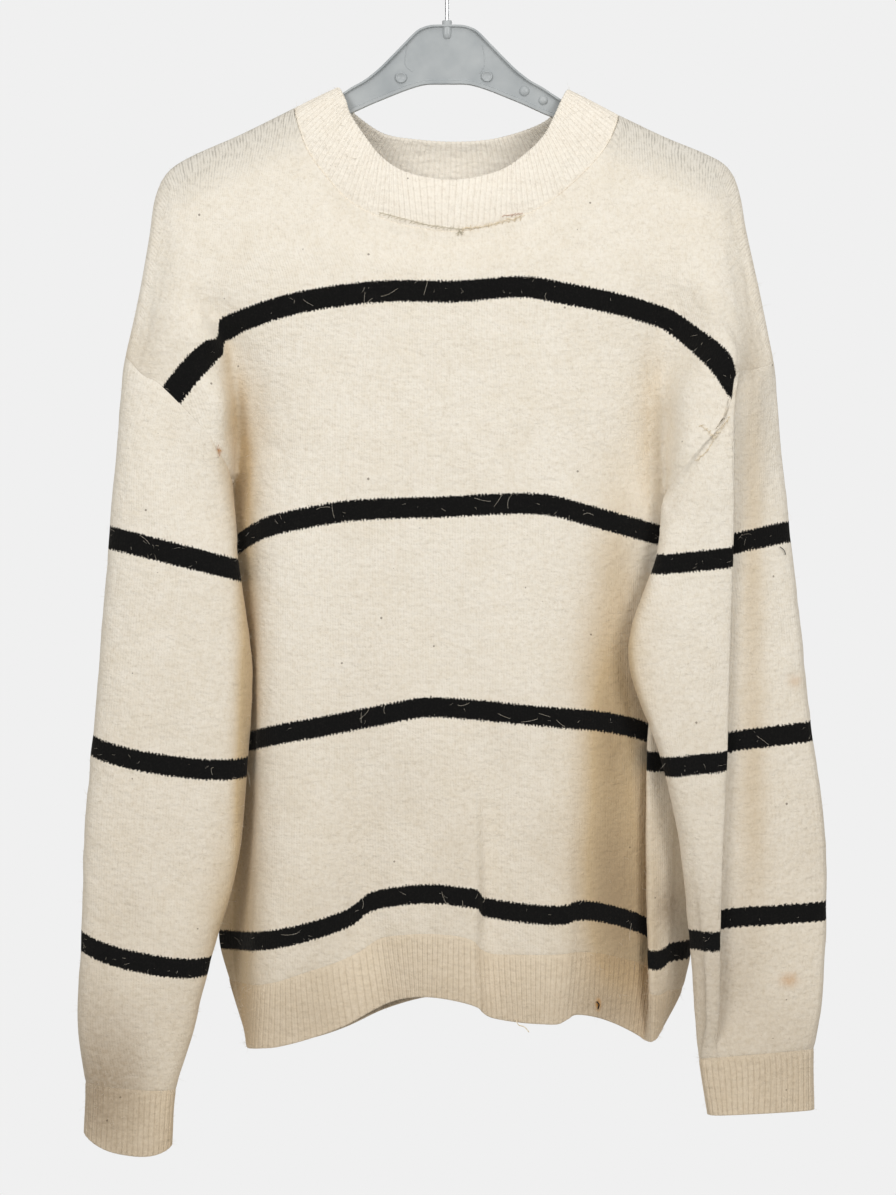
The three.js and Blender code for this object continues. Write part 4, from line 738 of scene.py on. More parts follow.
@dataclass
class Body:
    """Front and back panels and their hem ribs, sharing the shoulder line and the side seams.

    Attributes:
        wall: thickness of the felted knit.
        step: size of a facet.
        groove: how far the cloth sinks at a seam.
        rib_depth: height of a rib on the hem.
    """

    wear: Wear
    wall: float = 1.9
    step: float = 2.9
    groove: float = 0.3
    rib_depth: float = 0.4

    def __post_init__(self) -> None:
        """Works out both panels' surfaces on one set of columns."""
        unit = 1 / HALF_BODY
        fine = [0.7 * unit, 1.5 * unit, 2.6 * unit]
        runs = [(-1, NECK_LEFT), (NECK_LEFT, NECK_RIGHT), (NECK_RIGHT, 1)]
        self.across = np.unique(np.concatenate([spaced(a, b, self.step * unit, fine) for a, b in runs]))
        upper, lower = spaced(0, UNDERARM, self.step), spaced(UNDERARM, RIB_LEVEL, self.step)
        self.levels = np.unique(np.concatenate([upper, lower]))
        self.front = panel_surface(FRONT_COURSES, self.across, self.levels)
        back = panel_surface(BACK_COURSES, self.across, self.levels)
        self.back = self._meet(back, self.front, self.levels)
        self.front_normals = directions(self.front, False, 1)
        self.back_normals = directions(self.back, False, -1)
        shoulder = (self.across <= NECK_LEFT) | (self.across >= NECK_RIGHT)
        below = self.levels >= UNDERARM
        for pick in (np.ix_([0], shoulder), np.ix_(below, [0, len(self.across) - 1])):
            shared = self.front_normals[pick] + self.back_normals[pick]
            shared[..., 1] = 0
            shared /= np.linalg.norm(shared, axis=-1, keepdims=True)
            self.front_normals[pick] = self.back_normals[pick] = shared

    def _meet(self, back: Array, front: Array, levels: Array) -> Array:
        """Moves the back's shoulder line and side seams onto the front's, fading in over 15 mm."""
        across = np.linspace(-1, 1, back.shape[1]) if back.shape[1] != len(self.across) else self.across
        below = np.clip((levels - UNDERARM + 1e-6) * 1e6, 0, 1)[:, None, None]
        for side in (0, -1):
            gap = (front[:, side] - back[:, side])[:, None] * below
            reach = np.exp(-np.abs(across - across[side]) * HALF_BODY / 15)[None, :, None]
            back = back + gap * reach
        if levels[0] == 0:
            seam = ((across <= NECK_LEFT) | (across >= NECK_RIGHT))[None, :, None]
            gap = (front[0] - back[0])[None] * seam
            back = back + gap * np.exp(-levels / 15)[:, None, None]
        return back

    def felted(
        self, grid: Array, normals: Array, edges: Sequence[Array], lumps: Array
    ) -> tuple[Array, Array]:
        """Outer and inner surface of the felt: the lumps fade out beside the seams, which sink.

        Args:
            grid: the surface.
            normals: outward directions there.
            edges: distance of each point from each seam.
            lumps: height of the lumps.
        """
        sunk = np.clip(sum(bump(edge, 1.7) for edge in edges), 0, 1.3)
        calm = 1 - np.clip(sum(bump(edge, 5) for edge in edges), 0, 1)
        outer = grid + normals * (lumps * calm - self.groove * sunk)[..., None]
        return outer, grid - normals * self.wall

    def ribbed(
        self, grid: Array, normals: Array, u: Array, below: Array
    ) -> tuple[Array, Array, Array]:
        """Outer and inner surface of a hem or cuff rib, and how deep in a groove each point is.

        Args:
            grid: the surface.
            normals: outward directions there.
            u: place across the ribs, millimetres.
            below: distance from the rib's seam.
        """
        height = ribs(u)
        start = bump(below, 2.2)
        rise = self.rib_depth * (height - 0.6) * (1 - start) - self.groove * start
        outer = grid + normals * rise[..., None]
        inner = grid - normals * (self.wall - 0.3 * height)[..., None]
        return outer, inner, (1 - height) * (1 - start)

    def panel(self, front: bool) -> bpy.types.Object:
        """Front or back panel: the surface with its felted lumps, sunk along every seam."""
        grid = self.front if front else self.back
        normals = self.front_normals if front else self.back_normals
        level, across = np.meshgrid(self.levels, self.across, indexing="ij")
        u = across * half_width(level)
        from_side = (1 - np.abs(across)) * half_width(level)
        lumps = felt_relief(u + 400, level, 11 if front else 31)
        outer, inner = self.felted(grid, normals, [level, RIB_LEVEL - level, from_side], lumps)
        cloth = Cloth(outer, inner, np.stack([u, level], axis=-1), rim=0.35)
        wider = np.clip((np.abs(across) - 0.68) / 0.1, 0, 1) * (level < 200)
        pinch = 4.8 * bump((across + 0.772) * HALF_BODY, 5.0) * (level < 200) * front
        cloth.marks = {
            "band": stripe_distance(grid, self.levels, BODY_STRIPES) - 1.3 * wider + pinch,
            "sheer": self.wear.sheer(grid),
            **self.wear.marks(grid, normals, 1, float(front)),
        }
        return cloth.build("sweater_front" if front else "sweater_back")

    def hem(self, front: bool) -> bpy.types.Object:
        """Hem rib of the front or back: the panel's surface on below the seam, with its ribs."""
        count = round(2 * HALF_BODY / RIB) * RIB_FACETS
        across = np.linspace(-1, 1, count + 1)
        levels = spaced(RIB_LEVEL, HEM_LEVEL, RIB_ROW)
        grid = panel_surface(FRONT_COURSES, across, levels)
        if not front:
            grid = self._meet(panel_surface(BACK_COURSES, across, levels), grid, levels)
        normals = directions(grid, False, 1 if front else -1)
        level, run = np.meshgrid(levels, across, indexing="ij")
        u = run * HALF_BODY
        outer, inner, groove = self.ribbed(grid, normals, u, level - RIB_LEVEL)
        cloth = Cloth(outer, inner, np.stack([u, level], axis=-1), rim=0.9)
        cloth.marks = {"groove": groove, **self.wear.marks(grid, normals, 1, float(front))}
        return cloth.build("hem_rib_front_knit" if front else "hem_rib_back_knit")

    def armhole(self, right: bool) -> tuple[Array, Array]:
        """Ring of the armhole from the shoulder over the front.

        Returns:
            Shares of the way round, and at each a point and the cloth's outward direction, (N, 6).
        """
        column, last = (-1 if right else 0), int(np.searchsorted(self.levels, UNDERARM)) + 1
        fore = np.concatenate([self.front, self.front_normals], axis=-1)[:last, column]
        rear = np.concatenate([self.back, self.back_normals], axis=-1)[:last, column][::-1]
        return ring_shares(fore, rear)

    def neckline(self) -> tuple[Array, Array]:
        """Ring of the neck seam from the left neck point over the front: shares, points."""
        inside = (self.across >= NECK_LEFT) & (self.across <= NECK_RIGHT)
        fore, rear = self.front[0, inside], self.back[0, inside][::-1]
        return ring_shares(fore, rear)


# ------------------------------------------------------------------ the sleeves
def flat_section(ring: Sequence[float], share: Array) -> Array:
    """Flattened tube section through its two edges, [x, y, drop] at each share of the way round.

    It is a superellipse: along the line between the edges it goes as cos^0.8, and out of it
    as sin^0.8, which gives flat faces and tight rounded edges.
    """
    outer, inner = np.array(ring[1:4]), np.array(ring[4:7])
    sag, fore, rear = ring[7:10]
    c, s = np.cos(2 * np.pi * share), np.sin(2 * np.pi * share)
    reach = (1 - np.sign(c) * np.abs(c) ** 0.8) / 2
    swell = np.abs(s) ** 0.8
    points = outer + (inner - outer) * reach[:, None]
    points[:, 1] += np.where(s > 0, -fore, rear) * swell
    points[:, 2] += sag * swell**2
    return points


def pleated_section(ring: Sequence[float], share: Array) -> Array:
    """The same section with a flat pleat: the outer side passes behind the front side.

    Where the pleat hides less than 6 mm it opens into the plain section, taken at shares that
    keep the fold where it is: the plain section's x is that of the fold at share 0.235.
    """
    _, ox, oy, od, ix, iy, inner_drop, _, fore, _, fold, d0, d1, hidden = ring
    face = oy + (iy - oy) * (ox - fold) / (ox - ix) - fore
    stack = min(hidden, 8)
    keys = np.array([
        (0, ox, oy, od),
        (0.05, ox - 5, oy - 8 + stack * 0.3, od + 1),
        (0.12, (ox + fold) / 2, (oy - 8 + face + stack) / 2, (od + d0) / 2),
        (0.19, fold + 1, face + stack, d0),
        (0.235, fold - hidden, face + stack * 0.62, (d0 + d1) / 2),
        (0.28, fold, face, d1),
        (0.38, (fold + ix) / 2, (face + iy - 10) / 2 - 2, (d1 + inner_drop) / 2 + 1),
        (0.46, ix + 6, iy - 8, inner_drop + 0.5),
        (0.5, ix, iy, inner_drop),
        (0.54, ix + 6, iy + 7, inner_drop + 0.5),
    ])
    pleat = smooth(keys[:, 0], keys[:, 1:], share)
    cosine = 1 - 2 * (ox - fold) / (ox - ix)
    fold_share = math.acos(math.copysign(abs(cosine) ** 1.25, cosine)) / (2 * math.pi)
    warped = np.interp(share, [0, 0.235, 0.5, 1], [0, fold_share, 0.5, 1])
    plain = flat_section((*ring[:7], 0, *ring[8:]), warped)
    opened = np.where(share < 0.5, 0.92 * (1 - min(hidden / 6, 1)), 1.0)[:, None]
    return pleat * (1 - opened) + plain * opened


@dataclass
class Sleeve:
    """Sleeve and cuff of one side, a tube from the armhole to the wrist.

    Attributes:
        right: which side.
        rings: the rings the tube goes through.
        section: shape of a ring.
        columns: number of facets round it.
    """

    body: Body
    right: bool
    rings: Sequence[Sequence[float]]
    section: Callable[[Sequence[float], Array], Array]
    columns: int

    def surface(self, shares: Array, stations: Array) -> Array:
        """Smooth tube: each column is a smooth curve from the armhole down through the rings."""
        start = self._rim(shares)[:, :3]
        rings = np.stack([to_space(self.section(ring, shares)) for ring in self.rings])
        places = [0, *(ring[0] for ring in self.rings)]
        return smooth(places, np.concatenate([start[None], rings]), stations)

    def _rim(self, shares: Array) -> Array:
        """Point and outward direction on the armhole at each share of the way round."""
        rim_shares, rim = self.body.armhole(self.right)
        on_rim = np.interp(shares, *ARMHOLE_SHARES.T) if self.right else shares
        return np.stack([np.interp(on_rim, rim_shares, rim[:, k]) for k in range(6)], axis=-1)

    def even_shares(self, count: int, station: float) -> Array:
        """Shares of the way round that split the ring at a station into equal lengths."""
        dense = np.linspace(0, 1, 1200)
        run = run_lengths(self.surface(dense[:-1], np.array([station]))[0])
        run = np.append(run, run[-1] + 0.2)
        return np.interp(np.arange(count) / count, run / run[-1], dense)

    def _uv(self, knit: Array, grid: Array) -> Array:
        """Place in the knitting: wales of one width run round each ring from the outer edge."""
        steps = np.linalg.norm(np.diff(np.concatenate([grid, grid[:, :1]], axis=1), axis=1), axis=-1)
        share = np.linspace(0, 1, grid.shape[1] + 1)
        around = steps.sum(axis=1)[:, None] * share
        return np.stack([around, knit[:, None] + 0 * around], axis=-1)

    def _marks(self, grid: Array, normals: Array, share: Array) -> dict[str, Array]:
        """The cloth's marks, with stains on the front of the sleeve only."""
        front = ((share > 0.02) & (share < 0.48)).astype(float)
        return self.body.wear.marks(grid, normals, -1, front)

    def tube(self) -> bpy.types.Object:
        """Sleeve from the armhole to the cuff, with its felted lumps."""
        end = self.rings[-2][0]
        knit = spaced(0, end, self.body.step)
        shares = self.even_shares(self.columns, 200)
        grid = self.surface(shares, knit)
        normals = directions(grid, True, -1 if self.right else 1)
        level, share = np.meshgrid(knit, shares, indexing="ij")
        # Beside the armhole the sleeve turns to the body's direction, so that the walls meet
        near = np.exp(-level / 3)[..., None]
        normals = normals * (1 - near) + self._rim(shares)[None, :, 3:] * near
        normals /= np.linalg.norm(normals, axis=-1, keepdims=True)
        around = 40
        turn = np.arange(self.columns)[None] / self.columns * around * LUMP + np.zeros_like(level)
        lumps = felt_relief(turn, level, 51 + 10 * self.right, around)
        outer, inner = self.body.felted(grid, normals, [level, end - level], lumps)
        cloth = Cloth(outer, inner, self._uv(knit, grid), closed=True, rim=0.35)
        cloth.marks = {
            "band": stripe_distance(grid, knit, RIGHT_STRIPES if self.right else LEFT_STRIPES),
            "sheer": np.zeros_like(level),
            **self._marks(grid, normals, share),
        }
        return cloth.build("sleeve_right_knit" if self.right else "sleeve_left_knit")

    def cuff(self) -> bpy.types.Object:
        """Cuff: the tube's surface on below the seam, with its ribs."""
        start, end = self.rings[-2][0], self.rings[-1][0]
        count = 44 if self.right else 40
        shares = self.even_shares(count * RIB_FACETS, (start + end) / 2)
        knit = spaced(start, end, RIB_ROW)
        grid = self.surface(shares, knit)
        normals = directions(grid, True, -1 if self.right else 1)
        level, share = np.meshgrid(knit, shares, indexing="ij")
        u = np.arange(count * RIB_FACETS)[None] / RIB_FACETS * RIB + np.zeros_like(level)
        outer, inner, groove = self.body.ribbed(grid, normals, u, level - start)
        cloth = Cloth(outer, inner, self._uv(knit, grid), closed=True)
        cloth.marks = {"groove": groove, **self._marks(grid, normals, share)}
        return cloth.build("cuff_right_knit" if self.right else "cuff_left_knit")


# ------------------------------------------------------------------ the collar
@dataclass
class Collar:
    """Doubled rib round the neck, from the neck seam to its turned edge.

    Attributes:
        body: the panels it is sewn to.
        wall: thickness of the doubled rib.
        depth: from the neck seam to the turned edge.
        pitch: width of a rib along the neck seam.
        swell: how far the ring stands out between its edges.
        rib_depth: height of a rib.
        sink: how far the cloth sinks at the neck seam.
    """

    body: Body
    wall: float = 3.2
    depth: float = 43.0
    pitch: float = 4.4
    swell: float = 2.5
    rib_depth: float = 0.36
    sink: float = 0.5

    def build(self) -> bpy.types.Object:
        """Ring of rib: straight from seam to edge, standing out by a sine between them."""
        rim_shares, rim = self.body.neckline()
        half = np.searchsorted(rim_shares, 0.5)
        fore = round(run_lengths(rim[: half + 1])[-1] / self.pitch)
        rear = round(run_lengths(rim[half:])[-1] / self.pitch)
        runs = [np.arange(count * RIB_FACETS) / (count * 2 * RIB_FACETS) for count in (fore, rear)]
        shares = np.concatenate([runs[0], 0.5 + runs[1]])
        u = np.interp(np.append(shares, 1), [0, 0.5, 1], [0, fore * RIB, (fore + rear) * RIB])
        seam = np.stack([np.interp(shares, rim_shares, rim[:, k]) for k in range(3)], axis=-1)
        top = to_space(smooth(*split(COLLAR_TOP), shares))
        f = spaced(0, 1, 1 / 18, (0.016, 0.034, 0.06))
        out = np.where(shares < 0.5, -1.0, 1.0)[:, None] * np.array([0, 1, 0]) + np.array([0, 0, 0.6])
        out /= np.linalg.norm(out, axis=1, keepdims=True)
        side = np.abs(np.sin(2 * np.pi * shares))[:, None] ** 0.3
        stand = out * side * self.swell * np.sin(np.pi * f)[:, None, None]
        grid = seam + (top - seam) * f[:, None, None] + stand
        normals = directions(grid, True, -1)
        share_f, run = np.meshgrid(f, u[:-1], indexing="ij")
        height = ribs(run)
        start = bump(share_f * self.depth, 1.8)
        rise = self.rib_depth * (height - 0.6) * (1 - start) - self.sink * start
        outer = grid + normals * rise[..., None]
        wall = self.body.wall + (self.wall - self.body.wall) * np.clip(share_f * 8, 0, 1)
        inner = grid - normals * (wall - 0.4 * (1 - height))[..., None]
        level, place = np.meshgrid(f * self.depth, u, indexing="ij")
        cloth = Cloth(outer, inner, np.stack([place, level], axis=-1), closed=True)
        cloth.marks = {
            "groove": (1 - height) * (1 - start),
            "grime": self.body.wear.grime(grid) * 0.4,
            "rust": np.zeros_like(height),
            "warm": np.zeros_like(height),
        }
        return cloth.build("neck_rib_knit")


# ------------------------------------------------------------------ the hanger and its hook
HANGER_TOP = (
    (0, -75.7), (12, -76.1), (19, -78.2), (23, -80.7), (30, -87.7), (41, -99), (51, -108.8), (61, -116.6),
    (70, -121.6), (76, -125.6), (84, -130.8), (104, -142.5), (126, -150.5), (150, -160.5), (172, -170.5),
    (190, -179), (200, -187.5),
)
HANGER_BOTTOM = (
    (0, -119.2), (19, -120.2), (50, -131.6), (72, -141.4), (80, -144.8), (120, -167.5), (160, -185.5),
    (190, -197.5), (200, -198.5),
)


def lathe(profile: Sequence[tuple[float, float]], facets: int) -> tuple[Array, Array]:
    """Turned solid about the axis z: points of (radius, z) from pole to pole, swept round.

    Returns:
        Vertices and triangles. Points of no radius make one vertex each.
    """
    turn = np.arange(facets) * 2 * np.pi / facets
    rings = np.array(profile[1:-1], float)
    ring = np.stack([np.cos(turn), np.sin(turn)], axis=-1)
    body = np.concatenate([
        rings[:, None, :1] * ring[None], np.broadcast_to(rings[:, None, 1:], (len(rings), facets, 1)),
    ], axis=-1).reshape(-1, 3)
    poles = np.array([[0, 0, profile[0][1]], [0, 0, profile[-1][1]]])
    number = np.arange(len(rings) * facets).reshape(len(rings), facets)
    quads = corners(np.concatenate([number, number[:, :1]], axis=1)).reshape(-1, 4)
    low, high = len(body), len(body) + 1
    after = np.roll(number, -1, axis=1)
    faces = np.concatenate([
        quads[:, [0, 1, 2]], quads[:, [0, 2, 3]],
        np.stack([number[0], after[0], np.full(facets, low)], axis=-1),
        np.stack([after[-1], number[-1], np.full(facets, high)], axis=-1),
    ])
    return np.concatenate([body, poles]), faces


def tube(path: Array, radius: Array | float, facets: int) -> tuple[Array, Array]:
    """Round tube along a path: a ring of facets about each point, with rounded tips.

    Args:
        path: points, (N, 3).
        radius: one radius, or one per point.
        facets: facets round the tube.

    Returns:
        Vertices and triangles.
    """
    path = np.asarray(path, float)
    radius = np.broadcast_to(np.asarray(radius, float), len(path)).copy()
    first, last = path[0] - path[1], path[-1] - path[-2]
    first, last = first / np.linalg.norm(first), last / np.linalg.norm(last)
    start = path[0] + first * radius[0] * 0.7
    end = path[-1] + last * radius[-1] * 0.7
    path = np.concatenate([[start], path, [end]])
    radius = np.concatenate([[radius[0] * 0.7], radius, [radius[-1] * 0.7]])
    way = np.gradient(path, axis=0)
    way /= np.maximum(np.linalg.norm(way, axis=1, keepdims=True), 1e-9)
    helper = np.array([0.0, 1.0, 0.0]) if abs(way[:, 1]).max() < 0.9 else np.array([0.31, 0.2, 0.93])
    side = np.cross(way, helper)
    side /= np.maximum(np.linalg.norm(side, axis=1, keepdims=True), 1e-9)
    other = np.cross(way, side)
    turn = (np.arange(facets) * 2 * np.pi / facets)[None, :, None]
    round_it = np.cos(turn) * side[:, None] + np.sin(turn) * other[:, None]
    rings = path[:, None] + radius[:, None, None] * round_it
    number = np.arange(rings.shape[0] * facets).reshape(-1, facets)
    quads = corners(np.concatenate([number, number[:, :1]], axis=1)).reshape(-1, 4)
    start, end = number.size, number.size + 1
    after = np.roll(number, -1, axis=1)
    reach = radius[[0, -1], None] * 0.4 * np.array([-way[0], way[-1]])
    faces = np.concatenate([
        quads[:, [0, 1, 2]], quads[:, [0, 2, 3]],
        np.stack([number[0], after[0], np.full(facets, start)], axis=-1),
        np.stack([after[-1], number[-1], np.full(facets, end)], axis=-1),
    ])
    return np.concatenate([rings.reshape(-1, 3), path[[0, -1]] + reach]), faces


def joined(name: str, parts: Sequence[tuple[Array, Array]]) -> bpy.types.Object:
    """One object from several closed parts of (vertices, triangles)."""
    starts = np.cumsum([0, *(len(vertices) for vertices, _ in parts)])
    faces = []
    for (vertices, part), start in zip(parts, starts):
        a, b, c = (vertices[part[:, k]] for k in (0, 1, 2))
        inward = np.einsum("ij,ij->", a, np.cross(b, c)) < 0
        faces.append((part[:, ::-1] if inward else part) + start)
    return make_mesh(name, np.concatenate([vertices for vertices, _ in parts]), np.concatenate(faces))


@dataclass
class Hanger:
    """Moulded plastic hanger: a web with a rim round it, a boss for the wire, studs and fine lines.

    Attributes:
        depth: depth of the rim, front to back.
        web: depth of the web between the rims.
        rim_top: thickness of the top rim.
        rim_bottom: thickness of the bottom rim.
    """

    depth: float = 8.0
    web: float = 3.0
    rim_top: float = 1.5
    rim_bottom: float = 2.4

    def plate(self) -> bpy.types.Object:
        """The arms: an I-shaped section that follows the top and bottom lines from tip to tip."""
        x = np.linspace(-200, 200, 161)
        top = smooth(*split(HANGER_TOP), np.abs(x))[:, 0]
        low = smooth(*split(HANGER_BOTTOM), np.abs(x))[:, 0]
        rise = self.rim_top * np.hypot(1, np.gradient(top, x))
        fall = self.rim_bottom * np.hypot(1, np.gradient(low, x))
        f, w = self.depth / 2, self.web / 2
        y = np.array([-f, f, f, w, w, f, f, -f, -f, -w, -w, -f])
        z = np.stack([
            top, top, top - rise, top - rise - 0.5, low + fall + 0.5, low + fall,
            low, low, low + fall, low + fall + 0.5, top - rise - 0.5, top - rise,
        ], axis=-1)
        rings = np.stack([np.broadcast_to(x[:, None], z.shape), np.broadcast_to(y, z.shape), z], axis=-1)
        number = np.arange(z.size).reshape(z.shape)
        sides = corners(np.concatenate([number, number[:, :1]], axis=1)).reshape(-1, 4)
        cap = np.array([[0, 1, 2, 11], [11, 2, 3, 10], [10, 3, 4, 9], [9, 4, 5, 8], [8, 5, 6, 7]])
        faces = np.concatenate([sides, cap, cap[:, ::-1] + number[-1, 0]])
        piece = make_mesh("hanger_plate", rings.reshape(-1, 3), faces)
        bevel = piece.modifiers.new("Soft edges", "BEVEL")
        bevel.width, bevel.segments, bevel.harden_normals = 0.35 * MM, 2, True
        return piece

    def fittings(self) -> bpy.types.Object:
        """Boss with its bore, two flat studs, two domed ones and the raised lines on the web."""
        boss = ((0, -83.4), (1.6, -83.3), (1.6, -72.9), (2.0, -72.5), (3.2, -72.5), (3.6, -73.1),
                (3.6, -82.5), (3.3, -84.8), (2.4, -86.0), (0, -86.3))
        flat = ((0, 2.7), (2.9, 2.7), (3.2, 3.1), (3.7, 3.1), (4.0, 2.7), (4.1, 1.2), (0, 1.2))
        dome = ((0, 3.5), (1.2, 3.4), (2.4, 3.0), (3.3, 2.4), (3.8, 1.7), (4.0, 1.2), (0, 1.2))
        parts = [lathe(boss, 32)]
        for x, z, scale, profile in (
            (-33.8, -114.5, 1, flat), (29.3, -113.6, 1, flat),
            (56.7, -124.4, 1, dome), (70.5, -131.2, 0.9, dome),
        ):
            points, faces = lathe(profile, 32)
            turned = [points[:, 0] * scale + x, -points[:, 2], points[:, 1] * scale + z]
            parts.append((np.stack(turned, -1), faces))
        for line in (
            ((-28.7, -87.7), (-30.6, -99.2), (-30.3, -105.5), (-25.6, -110.2)),
            ((25.8, -90.9), (27.4, -99.2), (26.9, -106.6), (24.2, -111.3)),
        ):
            bent = smooth(np.arange(4), np.array(line), np.linspace(0, 3, 25))
            parts.append(tube(np.stack([bent[:, 0], np.full(25, -self.web / 2), bent[:, 1]], -1), 0.32, 8))
        return joined("hanger_fittings", parts)


@dataclass
class Hook:
    """Steel wire hook: a straight stem, a swan neck and the bow that hangs on the rail."""

    radius: float = 1.4
    bow: float = 19.4
    centre: float = -18.0

    def build(self) -> bpy.types.Object:
        """Tube along the stem, a cubic curve, and an arc from lower left over the top to the right."""
        stem = np.stack([np.zeros(12), np.linspace(-82.8, -52, 12)], axis=-1)
        start = math.radians(-135)
        foot = np.array([self.bow * math.cos(start), self.centre + self.bow * math.sin(start)])
        pull = 11 * np.array([math.sin(start), -math.cos(start)])
        t = np.linspace(0, 1, 20)[1:, None]
        a, b = stem[-1], stem[-1] + [0, 10]
        near, far = 3 * t * (1 - t) ** 2, 3 * t**2 * (1 - t)
        neck = (1 - t) ** 3 * a + near * b + far * (foot - pull) + t**3 * foot
        turn = start - np.linspace(0, math.radians(210), 90)[1:]
        bow = np.stack([self.bow * np.cos(turn), self.centre + self.bow * np.sin(turn)], axis=-1)
        flat = np.concatenate([stem, neck, bow])
        path = np.stack([flat[:, 0], np.zeros(len(flat)), flat[:, 1]], axis=-1)
        return joined("hook_wire", [tube(path, self.radius, 16)])


# ------------------------------------------------------------------ threads and fibres
class Thread(Enum):
    """Yarns that mend or trail from the sweater, with the radius of each in millimetres."""

    DARN = 0.2
    TAN = 0.2
    CREAM = 0.28
    BLACK = 0.3
    HAIR = 0.06


@dataclass
class Skin:
    """Outer surfaces of the cloth, on which threads and fibres are laid.

    Attributes:
        points: points of the surfaces, (N, 3), millimetres.
        normals: outward directions there.
    """

    points: Array = field(default_factory=lambda: np.zeros((0, 3)))
    normals: Array = field(default_factory=lambda: np.zeros((0, 3)))

    def add(self, piece: bpy.types.Object) -> None:
        """Takes in the outer wall of a piece, whose vertices come first."""
        mesh = piece.data
        count = len(mesh.vertices)
        points, normals = np.empty(count * 3), np.empty(count * 3)
        mesh.vertices.foreach_get("co", points)
        mesh.vertices.foreach_get("normal", normals)
        outer = int(piece["outer_points"])
        self.points = np.concatenate([self.points, points.reshape(-1, 3)[:outer] / MM])
        self.normals = np.concatenate([self.normals, normals.reshape(-1, 3)[:outer]])

    def front(self, flat: Array, lift: float) -> Array:
        """Points on the front at (x, z), each lifted off the foremost cloth within 3.2 mm of it, or
        off the nearest cloth where there is none."""
        facing = self.normals[:, 1] < 0.1
        points = self.points[facing]
        gap = np.linalg.norm(points[None, :, [0, 2]] - flat[:, None], axis=-1)
        order = np.where(gap < 3.2, points[None, :, 1] + gap * 0.3, 1e3 + gap).argmin(axis=1)
        return np.stack([flat[:, 0], points[order, 1] - lift, flat[:, 1]], axis=-1)


